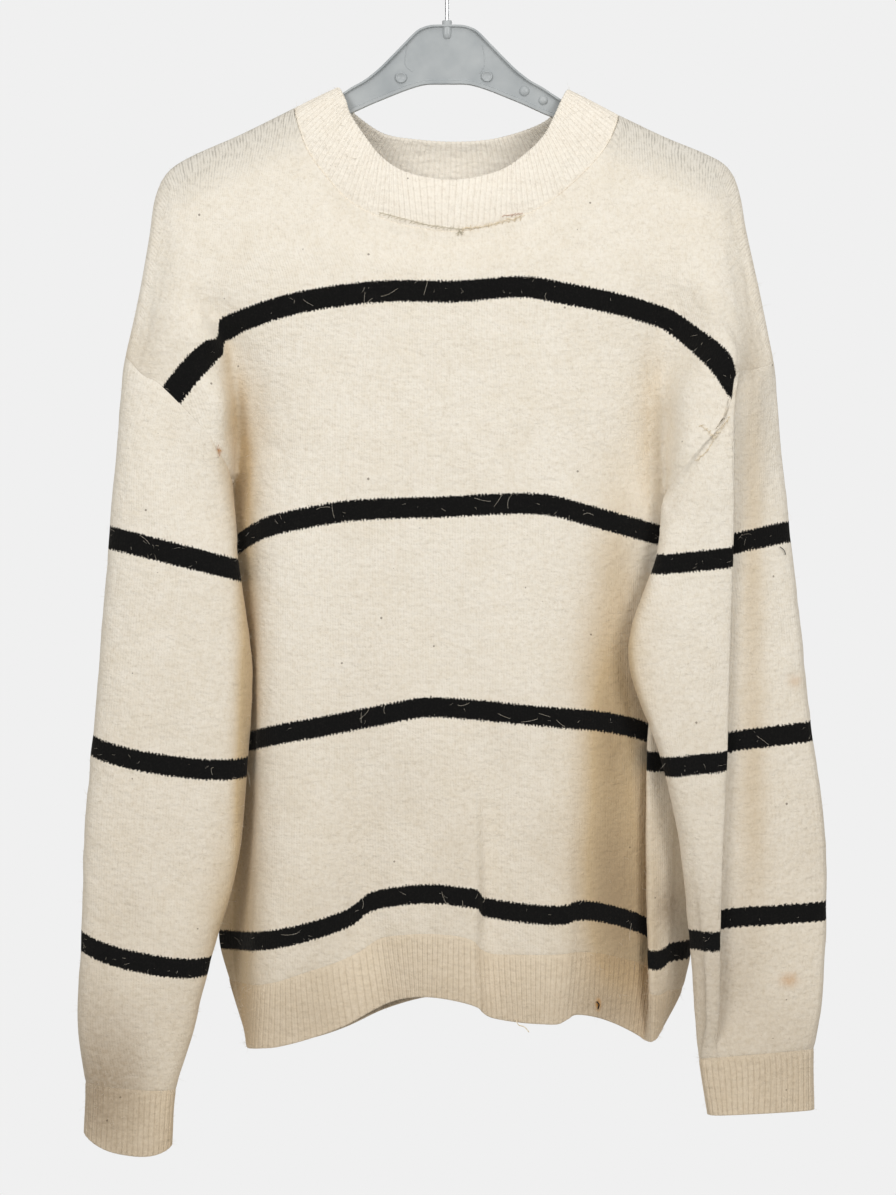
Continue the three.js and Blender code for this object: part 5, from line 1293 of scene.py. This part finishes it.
@dataclass
class Mending:
    """The darned neck seam, the mended armhole, and the loose ends that trail from the knit."""

    skin: Skin
    seed: int = 71

    def _laid(self, line: Sequence[tuple[float, float]], lift: float, count: int = 9) -> Array:
        """A yarn's path over the cloth through points of (x, z)."""
        keys = np.array(line, float)
        line_at = np.linspace(0, len(keys) - 1, count)
        return self.skin.front(smooth(np.arange(len(keys)), keys, line_at), lift)

    def _stitches(
        self, line: Sequence[tuple[float, float]], count: int, length: float, tilt: float, yarn: Thread
    ) -> list[tuple[Array, Array]]:
        """Short stitches set across a line at an uneven tilt, each bowed up off the cloth."""
        rng = np.random.default_rng(self.seed + count)
        keys = np.array(line, float)
        shift = rng.uniform(-0.2, 0.2, count) * (len(keys) - 1) / count
        places = np.linspace(0, len(keys) - 1, count) + shift
        middles = smooth(np.arange(len(keys)), keys, places)
        angles = tilt + rng.uniform(-0.5, 0.5, count)
        reach = length * rng.uniform(0.6, 1.15, count) / 2
        way = np.stack([np.cos(angles), np.sin(angles)], axis=-1) * reach[:, None]
        share = np.array([-1, -0.5, 0, 0.5, 1])
        flat = middles[:, None] + way[:, None] * share[None, :, None]
        laid = self.skin.front(flat.reshape(-1, 2), 0).reshape(count, 5, 3)
        laid[:, :, 1] -= 0.55 - 0.75 * share**2
        return [tube(path, yarn.value, 7) for path in laid]

    def darn(self) -> bpy.types.Object:
        """Pale olive-grey darning yarn, partly painted shade along the neck seam: whip stitches over the
        neck seam, a long run, and a tuft.
        """
        seam = ((-48, -215.5), (-34, -219.5), (-18, -223.5), (-4, -226), (10, -227))
        parts = self._stitches(seam, 20, 4.0, 0.5, Thread.DARN)
        run = ((-50, -214.6), (-30, -219.9), (-12, -224.4), (11, -227.2))
        parts.append(tube(self._laid(run, 0.1, 26), 0.18, 7))
        rng = np.random.default_rng(self.seed)
        for angle in rng.uniform(-2.6, 0.4, 7):
            end = (9 + 3.4 * math.cos(angle), -228.6 + 3.4 * math.sin(angle))
            parts.append(tube(self._laid(((8.6, -227.6), (9, -228.6), end), 0.4, 7), 0.2, 6))
        return joined("darn_yarn_and_seam_shade", parts)

    def light_darn(self) -> bpy.types.Object:
        """Cream darning yarn along the right half of the neck seam and over the armhole's mend."""
        seam = ((12, -226.6), (24, -225.4), (37, -222.6), (54, -218))
        parts = self._stitches(seam, 16, 5.4, 0.25, Thread.CREAM)
        parts += self._stitches(((12, -227.2), (36, -223.4), (54, -218.8)), 9, 4.2, 1.2, Thread.CREAM)
        for line in (
            ((205.5, -364.5), (200, -372), (194, -380)), ((184, -371), (190, -376), (194, -380)),
            ((194, -380), (189, -389), (181, -396.5)),
        ):
            parts += self._stitches(line, 5, 4.4, 0.5, Thread.CREAM)
            parts.append(tube(self._laid(line, 0.05, 12), 0.2, 7))
        loose_end = ((49.9, -802.5), (52, -806.5), (56, -807.8), (59.5, -811.5))
        parts.append(tube(self._laid(loose_end, 0.7, 14), 0.38, 7))
        return joined("darn_cream_yarn", parts)

    def tan_darn(self) -> bpy.types.Object:
        """Few tan and rust stitches beside the darn and at the left armhole."""
        parts = self._stitches(((41, -217.4), (54, -215.8)), 6, 4.0, 0.3, Thread.TAN)
        parts += self._stitches(((-166.8, -386.5), (-165.4, -391.5)), 4, 3.6, 0.9, Thread.TAN)
        return joined("darn_rust_yarn", parts)

    def black(self) -> bpy.types.Object:
        """Black bits of yarn caught on the knit."""
        parts = [
            tube(self._laid(((243, -459), (246, -461.4), (247, -464.5)), 0.4, 8), Thread.BLACK.value, 6),
            tube(self._laid(((109, -790), (110.6, -792), (110, -795)), 0.35, 8), 0.5, 6),
        ]
        return joined("black_bits", parts)

    def hairs(self, count: int = 34) -> bpy.types.Object:
        """Long pale hairs lying on the cloth, most of them over the stripes."""
        rng = np.random.default_rng(self.seed + 9)
        places = [(-126, -736), (-114, -740), (134, -740), (-220, -454), (-170, -622), (-42, -274),
                  (20, -417), (90, -440), (-90, -431), (-60, -580), (60, -585), (10, -722), (230, -600)]
        x, z = rng.uniform(-150, 150, count), rng.uniform(-780, -240, count)
        rows = np.array([-268, -424, -575, -712])
        nearest = rows[np.argmin(np.abs(z[:, None] - rows), axis=1)]
        z = np.where(rng.uniform(size=count) < 0.6, nearest - rng.uniform(0, 14, count), z)
        middles = np.concatenate([np.array(places, float), np.stack([x, z], -1)])
        angle = rng.uniform(0, np.pi, len(middles))
        half = rng.uniform(2.5, 7.5, len(middles))[:, None] * np.stack([np.cos(angle), np.sin(angle)], -1)
        bend = rng.uniform(-1.6, 1.6, (len(middles), 2))
        share = np.linspace(-1, 1, 7)[None, :, None]
        flat = middles[:, None] + half[:, None] * share + bend[:, None] * (1 - share**2)
        laid = self.skin.front(flat.reshape(-1, 2), 0.45).reshape(-1, 7, 3)
        return joined("pale_hairs", [tube(path, Thread.HAIR.value, 4) for path in laid])


@dataclass
class Fuzz:
    """Fine fibres that stand off the felted knit and soften its outline.

    Attributes:
        skin: the cloth they grow from.
        count: how many.
        length: shortest and longest, millimetres.
        radius: thickness at the root.
    """

    skin: Skin
    count: int = 7000
    length: tuple[float, float] = (1.6, 4.6)
    radius: float = 0.075
    seed: int = 5

    def build(self) -> bpy.types.Object:
        """Each fibre is two rings of three vertices and a tip, bent over by a random pull."""
        rng = np.random.default_rng(self.seed)
        pick = rng.integers(0, len(self.skin.points), self.count)
        root, normal = self.skin.points[pick], self.skin.normals[pick]
        pull = rng.normal(size=(self.count, 3))
        length = rng.uniform(*self.length, self.count)[:, None]
        way = normal + 0.7 * pull
        way /= np.linalg.norm(way, axis=1, keepdims=True)
        out = np.einsum("ij,ij->i", way, normal)[:, None]
        way = np.where(out < 0.15, way + normal * (0.25 - out), way)
        bend = rng.normal(size=(self.count, 3)) * 0.45
        side = np.cross(way, rng.normal(size=(self.count, 3)))
        side /= np.linalg.norm(side, axis=1, keepdims=True)
        other = np.cross(way / np.linalg.norm(way, axis=1, keepdims=True), side)
        turn = np.arange(3) * 2 * np.pi / 3
        ring = np.cos(turn)[None, :, None] * side[:, None] + np.sin(turn)[None, :, None] * other[:, None]
        levels = [(-0.08, 1.0), (0.55, 0.75)]
        rows = [
            (root + length * (way * share + bend * share**2))[:, None] + ring * self.radius * wide
            for share, wide in levels
        ]
        tip = (root + length * (way + bend))[:, None]
        vertices = np.concatenate([*rows, tip], axis=1)
        one = np.array([
            *((a, (a + 1) % 3, 3 + (a + 1) % 3) for a in range(3)),
            *((a, 3 + (a + 1) % 3, 3 + a) for a in range(3)),
            *((3 + a, 3 + (a + 1) % 3, 6) for a in range(3)), (0, 2, 1),
        ])
        faces = (one[None] + 7 * np.arange(self.count)[:, None, None]).reshape(-1, 3)
        return make_mesh("fuzz", vertices.reshape(-1, 3), faces)


# ------------------------------------------------------------------ finishes
def linear(code: str) -> tuple[float, float, float, float]:
    """Linear colour of an sRGB hex code such as "e6dccb"."""
    parts = (int(code[k : k + 2], 16) / 255 for k in (0, 2, 4))
    return (*(c / 12.92 if c <= 0.04045 else ((c + 0.055) / 1.055) ** 2.4 for c in parts), 1.0)


def add(tree: bpy.types.NodeTree, kind: str, inputs: dict[Any, Any] | None = None, **settings: Any) -> Any:
    """Adds one shader node, applies its settings, and fills or links its inputs. A Mix mixes colours.

    Args:
        tree: the node tree.
        kind: the node's type without its ShaderNode prefix.
        inputs: by socket name or number, a value, a socket, or a node whose first output is taken.
        settings: the node's own properties.

    Returns:
        The node.
    """
    node = tree.nodes.new("ShaderNode" + kind)
    if kind == "Mix":
        node.data_type = "RGBA"
    for key, value in settings.items():
        setattr(node, key, value)
    live = [socket for socket in node.inputs if socket.enabled]
    for key, value in (inputs or {}).items():
        socket = live[key] if isinstance(key, int) else next(s for s in live if s.name == key)
        if isinstance(value, bpy.types.Node):
            value = next(s for s in value.outputs if s.enabled)
        if isinstance(value, bpy.types.NodeSocket):
            tree.links.new(value, socket)
        else:
            socket.default_value = value
    return node


def new_tree(name: str) -> tuple[bpy.types.Material, bpy.types.NodeTree]:
    """Empty material of that name and its node tree."""
    material = bpy.data.materials.new(name)
    material.use_nodes = True
    material.node_tree.nodes.clear()
    return material, material.node_tree


@dataclass(frozen=True)
class Wool:
    """Felted off-white wool knit with black stripes.

    The eye sees soft cream clouds a few centimetres wide, short dark nicks between the felted
    stitches, faint upright wales, worn slits over the hanger's arms, and dirt that gathers
    towards the hem and the cuffs.

    Attributes:
        name: the material's name.
        cream: clean wool.
        shade: wool in the hollows of the felt.
        dirt: where it is grimy.
        black: the dyed stripes.
        rust: the stains.
        thin: worn cloth with the hanger behind it.
        striped: whether it has stripes and thin places.
        groove: strength of the painted shade in the grooves between its ribs, 0 where it has none.
    """

    name: str
    cream: str = "f1eadd"
    shade: str = "e3d8c4"
    dirt: str = "a3917a"
    black: str = "0e0e0e"
    rust: str = "bd8436"
    thin: str = "d3cfc6"
    striped: bool = True
    groove: float = 0.0

    def build(self) -> bpy.types.Material:
        """Builds the material's nodes."""
        material, tree = new_tree(self.name)
        place = add(tree, "TexCoord").outputs["Object"]
        knit = add(tree, "UVMap", uv_map="Knit")
        clouds, mottle, fibre = (
            add(tree, "TexNoise", {"Vector": place, "Scale": scale, "Detail": detail, "Roughness": rough})
            for scale, detail, rough in ((38.0, 4.0, 0.62), (300.0, 5.0, 0.7), (900.0, 3.0, 0.7))
        )
        # Felt: clouds of 26 mm and mottling of 5 mm shift the wool between cream and its shade
        cloud_share = add(tree, "MapRange", {0: clouds, 1: 0.36, 2: 0.68, 3: 0.0, 4: 0.3})
        mottle_share = add(tree, "MapRange", {0: mottle, 1: 0.42, 2: 0.68, 3: 0.0, 4: 0.45})
        both = add(tree, "Math", {0: cloud_share, 1: mottle_share}, operation="ADD")
        colour = add(tree, "Mix", {0: both, 1: linear(self.cream), 2: linear(self.shade)})
        # Nicks: short upright hollows between the felted stitches, 1 mm by 2 mm
        stretched = add(tree, "Mapping", {"Vector": place, "Scale": (1.0, 1.0, 0.5)})
        nick = add(tree, "TexNoise", {"Vector": stretched, "Scale": 640.0, "Detail": 2.0, "Roughness": 0.6})
        nick_share = add(tree, "MapRange", {0: nick, 1: 0.53, 2: 0.78, 3: 0.0, 4: 0.24})
        colour = add(tree, "Mix", {0: nick_share, 1: colour, 2: linear("b9a78c")})
        # Lumps of the felt, 7 mm wide and 4 mm tall
        flattened = add(tree, "Mapping", {"Vector": place, "Scale": (1.0, 1.0, 1.7)})
        lump = add(tree, "TexNoise", {"Vector": flattened, "Scale": 150.0, "Detail": 2.0, "Roughness": 0.5})
        height = add(tree, "Math", {0: lump, 1: 1.7}, operation="MULTIPLY")
        across = add(tree, "SeparateXYZ", {0: knit}).outputs[0]
        wave = add(tree, "Math", {0: across, 1: 2 * math.pi / (WALE * MM)}, operation="MULTIPLY")
        wave = add(tree, "Math", {0: wave}, operation="SINE")
        ridge = 0.07 if self.striped else 0.12
        for part, share in ((mottle, 0.62), (fibre, 0.22), (nick_share, -0.6), (wave, ridge)):
            height = add(tree, "Math", {0: part, 1: share, 2: height}, operation="MULTIPLY_ADD")
        # Painted shade in the grooves between the ribs, darker the deeper the groove
        if self.groove:
            groove = add(tree, "Attribute", attribute_name="groove").outputs["Fac"]
            share = add(tree, "MapRange", {0: groove, 1: 0.3, 2: 1.0, 3: 0.0, 4: self.groove})
            colour = add(tree, "Mix", {0: share, 1: colour, 2: linear("8f7b60")})
        colour = self._shade_and_dirt(tree, colour, place, mottle)
        sheen: Any = 0.28
        if self.striped:
            colour = self._worn(tree, colour, knit, across)
            colour, dyed = self._stripes(tree, colour, across, place)
            sheen = add(tree, "MapRange", {0: dyed, 3: 0.28, 4: 0.04})
        bump = add(tree, "Bump", {"Height": height, "Strength": 0.9, "Distance": 0.0009})
        shader = add(tree, "BsdfPrincipled", {
            "Base Color": colour, "Roughness": 0.96, "Normal": bump, "Sheen Weight": sheen,
            "Sheen Roughness": 0.55, "Sheen Tint": linear("fff6e6"), "Specular IOR Level": 0.12,
        })
        add(tree, "OutputMaterial", {"Surface": shader})
        return material

    def _shade_and_dirt(self, tree: bpy.types.NodeTree, colour: Any, place: Any, mottle: Any) -> Any:
        """Painted shade in the valleys, grime that breaks up over the felt, rust stains and dark specks."""
        warm = add(tree, "Attribute", attribute_name="warm").outputs["Fac"]
        # Painted shade: the first filter tans every valley, the second darkens only the valleys whose
        # painted shade is above 0.95
        for start, tint in ((0.0, "dbc8a9"), (0.95, "b0a59a")):
            share = add(tree, "Math", {0: warm, 1: start}, operation="SUBTRACT", use_clamp=True)
            filters = {0: share, 1: colour, 2: linear(tint)}
            colour = add(tree, "Mix", filters, blend_type="MULTIPLY")
        broken = add(tree, "MapRange", {0: mottle, 1: 0.3, 2: 0.7, 3: 0.82, 4: 1.18})
        for stain, tint in (("grime", self.dirt), ("rust", self.rust)):
            amount = add(tree, "Attribute", attribute_name=stain).outputs["Fac"]
            share = add(tree, "Math", {0: amount, 1: broken}, operation="MULTIPLY", use_clamp=True)
            colour = add(tree, "Mix", {0: share, 1: colour, 2: linear(tint)})
        speck = add(tree, "TexVoronoi", {"Vector": place, "Scale": 105.0, "Randomness": 1.0})
        size = add(tree, "SeparateColor", {0: speck.outputs["Color"]})
        limit = add(tree, "MapRange", {0: size.outputs[0], 1: 0.86, 2: 1.0, 3: 0.0, 4: 0.1})
        inside = add(tree, "Math", {0: speck.outputs["Distance"], 1: limit}, operation="LESS_THAN")
        weak = add(tree, "Math", {0: inside, 1: 0.62}, operation="MULTIPLY")
        return add(tree, "Mix", {0: weak, 1: colour, 2: linear("4d3c2a")})

    def _worn(self, tree: bpy.types.NodeTree, colour: Any, knit: Any, across: Any) -> Any:
        """Thin cloth over the hanger: greyer, with dark ladders 5 to 15 mm long between its wales."""
        sheer = add(tree, "Attribute", attribute_name="sheer").outputs["Fac"]
        pale = add(tree, "Math", {0: sheer, 1: 0.62}, operation="MULTIPLY", use_clamp=True)
        colour = add(tree, "Mix", {0: pale, 1: colour, 2: linear(self.thin)})
        pace = 2 * math.pi / (1.2 * WALE * MM)
        turn = add(tree, "Math", {0: across, 1: pace}, operation="MULTIPLY")
        wave = add(tree, "Math", {0: turn}, operation="SINE")
        long = add(tree, "Mapping", {"Vector": knit, "Scale": (1.0, 0.62, 1.0)})
        ladder = add(tree, "TexNoise", {"Vector": long, "Scale": 420.0, "Detail": 2.0, "Roughness": 0.5})
        depth = add(tree, "Math", {0: wave, 1: 0.16, 2: ladder}, operation="MULTIPLY_ADD")
        cut = add(tree, "MapRange", {0: depth, 1: 0.5, 2: 0.74, 3: 0.0, 4: 0.52})
        opened = add(tree, "Math", {0: cut, 1: sheer}, operation="MULTIPLY", use_clamp=True)
        return add(tree, "Mix", {0: opened, 1: colour, 2: linear("8b867c")})

    def _stripes(self, tree: bpy.types.NodeTree, colour: Any, across: Any, place: Any) -> tuple[Any, Any]:
        """Black stripes whose edges step from wale to wale and blur where the wool is felted."""
        band = add(tree, "Attribute", attribute_name="band").outputs["Fac"]
        # Teeth drawn a quarter coarser than the wales, so that they show from four metres away
        turn = add(tree, "Math", {0: across, 1: 1.6 * math.pi / (WALE * MM)}, operation="MULTIPLY")
        drift = add(tree, "TexNoise", {"Vector": place, "Scale": 130.0, "Detail": 2.0})
        turn = add(tree, "Math", {0: drift, 1: 8.0, 2: turn}, operation="MULTIPLY_ADD")
        wave = add(tree, "Math", {0: turn}, operation="SINE")
        fluff = add(tree, "TexNoise", {"Vector": place, "Scale": 700.0, "Detail": 3.0, "Roughness": 0.65})
        soft = add(tree, "MapRange", {0: fluff, 1: 0.3, 2: 0.7, 3: -0.95, 4: 0.95})
        edge = add(tree, "Math", {0: wave, 1: 0.4, 2: band}, operation="MULTIPLY_ADD")
        edge = add(tree, "Math", {0: edge, 1: soft}, operation="ADD")
        share = add(tree, "MapRange", {0: edge, 1: -0.4, 2: 0.4, 3: 1.0, 4: 0.0})
        grey = add(tree, "MapRange", {0: fluff, 1: 0.5, 2: 0.85, 3: 0.0, 4: 0.22})
        black = add(tree, "Mix", {0: grey, 1: linear(self.black), 2: linear("3a3733")})
        return add(tree, "Mix", {0: share, 1: colour, 2: black}), share


@dataclass(frozen=True)
class Yarn:
    """Plain spun yarn, matt and a little uneven in colour along its length."""

    name: str
    light: str
    dark: str

    def build(self) -> bpy.types.Material:
        """Two colours mixed by a 2 mm noise, with a fine bump for the twist."""
        material, tree = new_tree(self.name)
        place = add(tree, "TexCoord").outputs["Object"]
        noise = add(tree, "TexNoise", {"Vector": place, "Scale": 500.0, "Detail": 3.0})
        share = add(tree, "MapRange", {0: noise, 1: 0.35, 2: 0.65})
        colour = add(tree, "Mix", {0: share, 1: linear(self.light), 2: linear(self.dark)})
        bump = add(tree, "Bump", {"Height": noise, "Strength": 0.6, "Distance": 0.0003})
        shader = add(tree, "BsdfPrincipled", {
            "Base Color": colour, "Roughness": 0.95,
            "Normal": bump, "Sheen Weight": 0.2, "Specular IOR Level": 0.1,
        })
        add(tree, "OutputMaterial", {"Surface": shader})
        return material


@dataclass(frozen=True)
class Plastic:
    """Moulded grey plastic, semi-gloss, with faint flow marks and scuffs."""

    name: str = "Grey moulded plastic"
    light: str = "b3b7b8"
    dark: str = "a3a8aa"

    def build(self) -> bpy.types.Material:
        """Colour from a 30 mm noise; roughness from finer scuffs between 0.32 and 0.5."""
        material, tree = new_tree(self.name)
        place = add(tree, "TexCoord").outputs["Object"]
        flow = add(tree, "TexNoise", {"Vector": place, "Scale": 34.0, "Detail": 3.0})
        scuff = add(tree, "TexNoise", {"Vector": place, "Scale": 260.0, "Detail": 4.0})
        share = add(tree, "MapRange", {0: flow, 1: 0.35, 2: 0.65})
        colour = add(tree, "Mix", {0: share, 1: linear(self.light), 2: linear(self.dark)})
        rough = add(tree, "MapRange", {0: scuff, 1: 0.35, 2: 0.7, 3: 0.32, 4: 0.5})
        bump = add(tree, "Bump", {"Height": flow, "Strength": 0.12, "Distance": 0.0008})
        shader = add(tree, "BsdfPrincipled", {
            "Base Color": colour, "Roughness": rough, "Normal": bump,
        })
        add(tree, "OutputMaterial", {"Surface": shader})
        return material


@dataclass(frozen=True)
class Steel:
    """Zinc-plated steel wire, bright, its roughness varying a little from place to place."""

    name: str = "Zinc-plated steel wire"
    colour: str = "c9cbcd"

    def build(self) -> bpy.types.Material:
        """Metal whose roughness varies from 0.16 to 0.34 with a fine noise."""
        material, tree = new_tree(self.name)
        place = add(tree, "TexCoord").outputs["Object"]
        noise = add(tree, "TexNoise", {"Vector": place, "Scale": 420.0, "Detail": 3.0})
        rough = add(tree, "MapRange", {0: noise, 1: 0.3, 2: 0.7, 3: 0.16, 4: 0.34})
        shader = add(tree, "BsdfPrincipled", {
            "Base Color": linear(self.colour), "Metallic": 1.0, "Roughness": rough,
        })
        add(tree, "OutputMaterial", {"Surface": shader})
        return material


# ------------------------------------------------------------------ studio
@dataclass
class Studio:
    """Pale backdrop, a floor well below, soft lamps in front, behind and overhead, and the camera."""

    back: str = "f0f0f0"
    ambient: float = 0.38
    floor_radius: float = 1100.0
    floor_top: float = -1290.0
    floor_depth: float = 12.0

    def world(self) -> None:
        """Even pale surround: the camera sees the backdrop, and the cloth gets a dimmer fill."""
        world = bpy.data.worlds.new("Pale surround")
        bpy.context.scene.world = world
        world.use_nodes = True
        tree = world.node_tree
        tree.nodes.clear()
        seen = add(tree, "LightPath").outputs["Is Camera Ray"]
        near = add(tree, "Background", {"Color": linear(self.back), "Strength": 1.0})
        fill = add(tree, "Background", {"Color": linear("f4f2ee"), "Strength": self.ambient})
        both = add(tree, "MixShader", {0: seen, 1: fill, 2: near})
        add(tree, "OutputWorld", {"Surface": both})

    def lamp(
        self, name: str, place: Sequence[float], aim: Sequence[float], size: float, power: float
    ) -> None:
        """Square soft lamp that the camera doesn't see."""
        data = bpy.data.lights.new(name, "AREA")
        data.shape, data.size, data.energy = "SQUARE", size, power
        lamp = bpy.data.objects.new(name, data)
        bpy.context.collection.objects.link(lamp)
        lamp.location = place
        way = Vector(aim) - Vector(place)
        lamp.rotation_euler = way.to_track_quat("-Z", "Y").to_euler()
        lamp.visible_camera = False

    def floor(self) -> bpy.types.Object:
        """Round pale floor below the sweater, out of the main view."""
        turn = np.linspace(0, 2 * np.pi, 65)[:-1]
        disc = np.stack([np.cos(turn), np.sin(turn), np.zeros(64)], axis=-1) * self.floor_radius
        points = np.concatenate([disc, disc - [0, 0, self.floor_depth]]) + [0, 0, self.floor_top]
        mesh = bpy.data.meshes.new("floor")
        ring = np.arange(64)
        sides = [[int(a), int(b), int(b) + 64, int(a) + 64] for a, b in zip(np.roll(ring, -1), ring)]
        mesh.from_pydata((points * MM).tolist(), [], [ring.tolist(), (ring[::-1] + 64).tolist(), *sides])
        piece = bpy.data.objects.new("floor", mesh)
        bpy.context.collection.objects.link(piece)
        material, tree = new_tree("Pale matt floor")
        shader = add(tree, "BsdfPrincipled", {"Base Color": linear("e6e6e6"), "Roughness": 0.9})
        add(tree, "OutputMaterial", {"Surface": shader})
        mesh.materials.append(material)
        piece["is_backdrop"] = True
        return piece

    def camera(self) -> None:
        """Long lens four metres in front of the sweater's middle."""
        data = bpy.data.cameras.new("Front view")
        data.lens, data.sensor_width = 164.2, 36.0
        camera = bpy.data.objects.new("Front view", data)
        bpy.context.collection.objects.link(camera)
        camera.location = (0.0007, -4.0, -0.4959)
        camera.rotation_euler = (math.pi / 2, 0, 0)
        bpy.context.scene.camera = camera

    def build(self) -> None:
        """Sets the whole studio up."""
        bpy.context.scene.view_settings.view_transform = "Standard"
        self.world()
        self.floor()
        for name, place, aim, size, power in (
            ("Left front lamp", (-1.7, -2.6, 0.35), -0.45, 1.2, 34.5),
            ("Right front lamp", (1.8, -2.5, 0.35), -0.45, 1.2, 35),
            ("Overhead lamp", (0, -1.0, 1.5), -0.4, 1.2, 10), ("Back lamp", (0.5, 3.0, 0.5), -0.45, 1.6, 30),
        ):
            self.lamp(name, place, (0, 0, aim), size, power)
        self.camera()


# ------------------------------------------------------------------ assembly
class Slot(Enum):
    """Material slots of the record."""

    FELT = "felted_knit"
    RIB = "rib_knit"
    PLASTIC = "hanger_plastic"
    WIRE = "hook_wire"


def finish_piece(
    piece: bpy.types.Object, material: bpy.types.Material, slot: Slot, replaces: Sequence[str] = ()
) -> bpy.types.Object:
    """Gives a piece its material and body, and hides the CAD nodes it stands for."""
    piece.data.materials.append(material)
    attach(piece, "root")
    if replaces:
        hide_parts(*replaces)
    log.info("%s: %d faces, %s", piece.name, len(piece.data.polygons), material.name)
    return piece


def box_size(low: Sequence[float], high: Sequence[float]) -> list[list[float]]:
    """Two corners as plain lists of metres."""
    return [[round(float(x), 5) for x in corner] for corner in (low, high)]


def main() -> None:
    """Builds the sweater, its hanger and the studio, and reports each piece."""
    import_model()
    cad_box = box_size(*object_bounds())
    wear = Wear()
    body = Body(wear)
    felt = Wool("Felted wool knit, striped").build()
    tan_rib = Wool(
        "Ribbed wool knit, soiled", cream="f1e4cf", shade="e2d2b8", striped=False, groove=0.34
    ).build()
    # The collar's cream is lighter than the body's wool: partly painted light that lifts the shade on the
    # collar
    pale_rib = Wool(
        "Ribbed wool knit, collar", cream="faf3e6", shade="f2e8d8", striped=False, groove=0.17
    ).build()
    skin = Skin()

    front = finish_piece(body.panel(True), felt, Slot.FELT, ["body_front"])
    back = finish_piece(body.panel(False), felt, Slot.FELT, ["body_back"])
    hem_front = finish_piece(body.hem(True), tan_rib, Slot.RIB, ["hem_rib_front"])
    hem_back = finish_piece(body.hem(False), tan_rib, Slot.RIB, ["hem_rib_back"])
    left = Sleeve(body, False, LEFT_RINGS, flat_section, 152)
    right = Sleeve(body, True, RIGHT_RINGS, pleated_section, 168)
    sleeves = [
        finish_piece(left.tube(), felt, Slot.FELT, ["sleeve_left"]),
        finish_piece(right.tube(), felt, Slot.FELT, ["sleeve_right"]),
    ]
    cuffs = [
        finish_piece(left.cuff(), tan_rib, Slot.RIB, ["cuff_left"]),
        finish_piece(right.cuff(), tan_rib, Slot.RIB, ["cuff_right"]),
    ]
    collar = finish_piece(Collar(body).build(), pale_rib, Slot.RIB, ["neck_rib"])
    for piece in (front, back, hem_front, hem_back, *sleeves, *cuffs, collar):
        skin.add(piece)

    hanger = Hanger()
    plastic = Plastic().build()
    finish_piece(hanger.plate(), plastic, Slot.PLASTIC, ["hanger"])
    finish_piece(hanger.fittings(), plastic, Slot.PLASTIC)
    finish_piece(Hook().build(), Steel().build(), Slot.WIRE, ["hook"])

    mending = Mending(skin)
    # The darning yarn's olive-grey is partly painted shade along the neck seam
    finish_piece(mending.darn(), Yarn("Olive darning wool and seam shade", "d6ceb8", "b8ae96").build(), Slot.RIB)
    finish_piece(mending.light_darn(), Yarn("Cream darning wool", "efe4cf", "cfbd9c").build(), Slot.RIB)
    finish_piece(mending.tan_darn(), Yarn("Rust darning thread", "cfae9a", "a8795f").build(), Slot.RIB)
    finish_piece(mending.black(), Yarn("Black yarn", "1d1b19", "0f0e0d").build(), Slot.FELT)
    pale = Yarn("Loose wool fibre", "f2eadb", "e3d6c0").build()
    finish_piece(mending.hairs(), pale, Slot.FELT)
    finish_piece(Fuzz(skin).build(), pale, Slot.FELT)

    Studio().build()
    {"cad": cad_box, "visual": box_size(*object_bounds())}


if __name__ == "__main__":
    logging.basicConfig(level=logging.INFO, format="%(message)s")
    main()
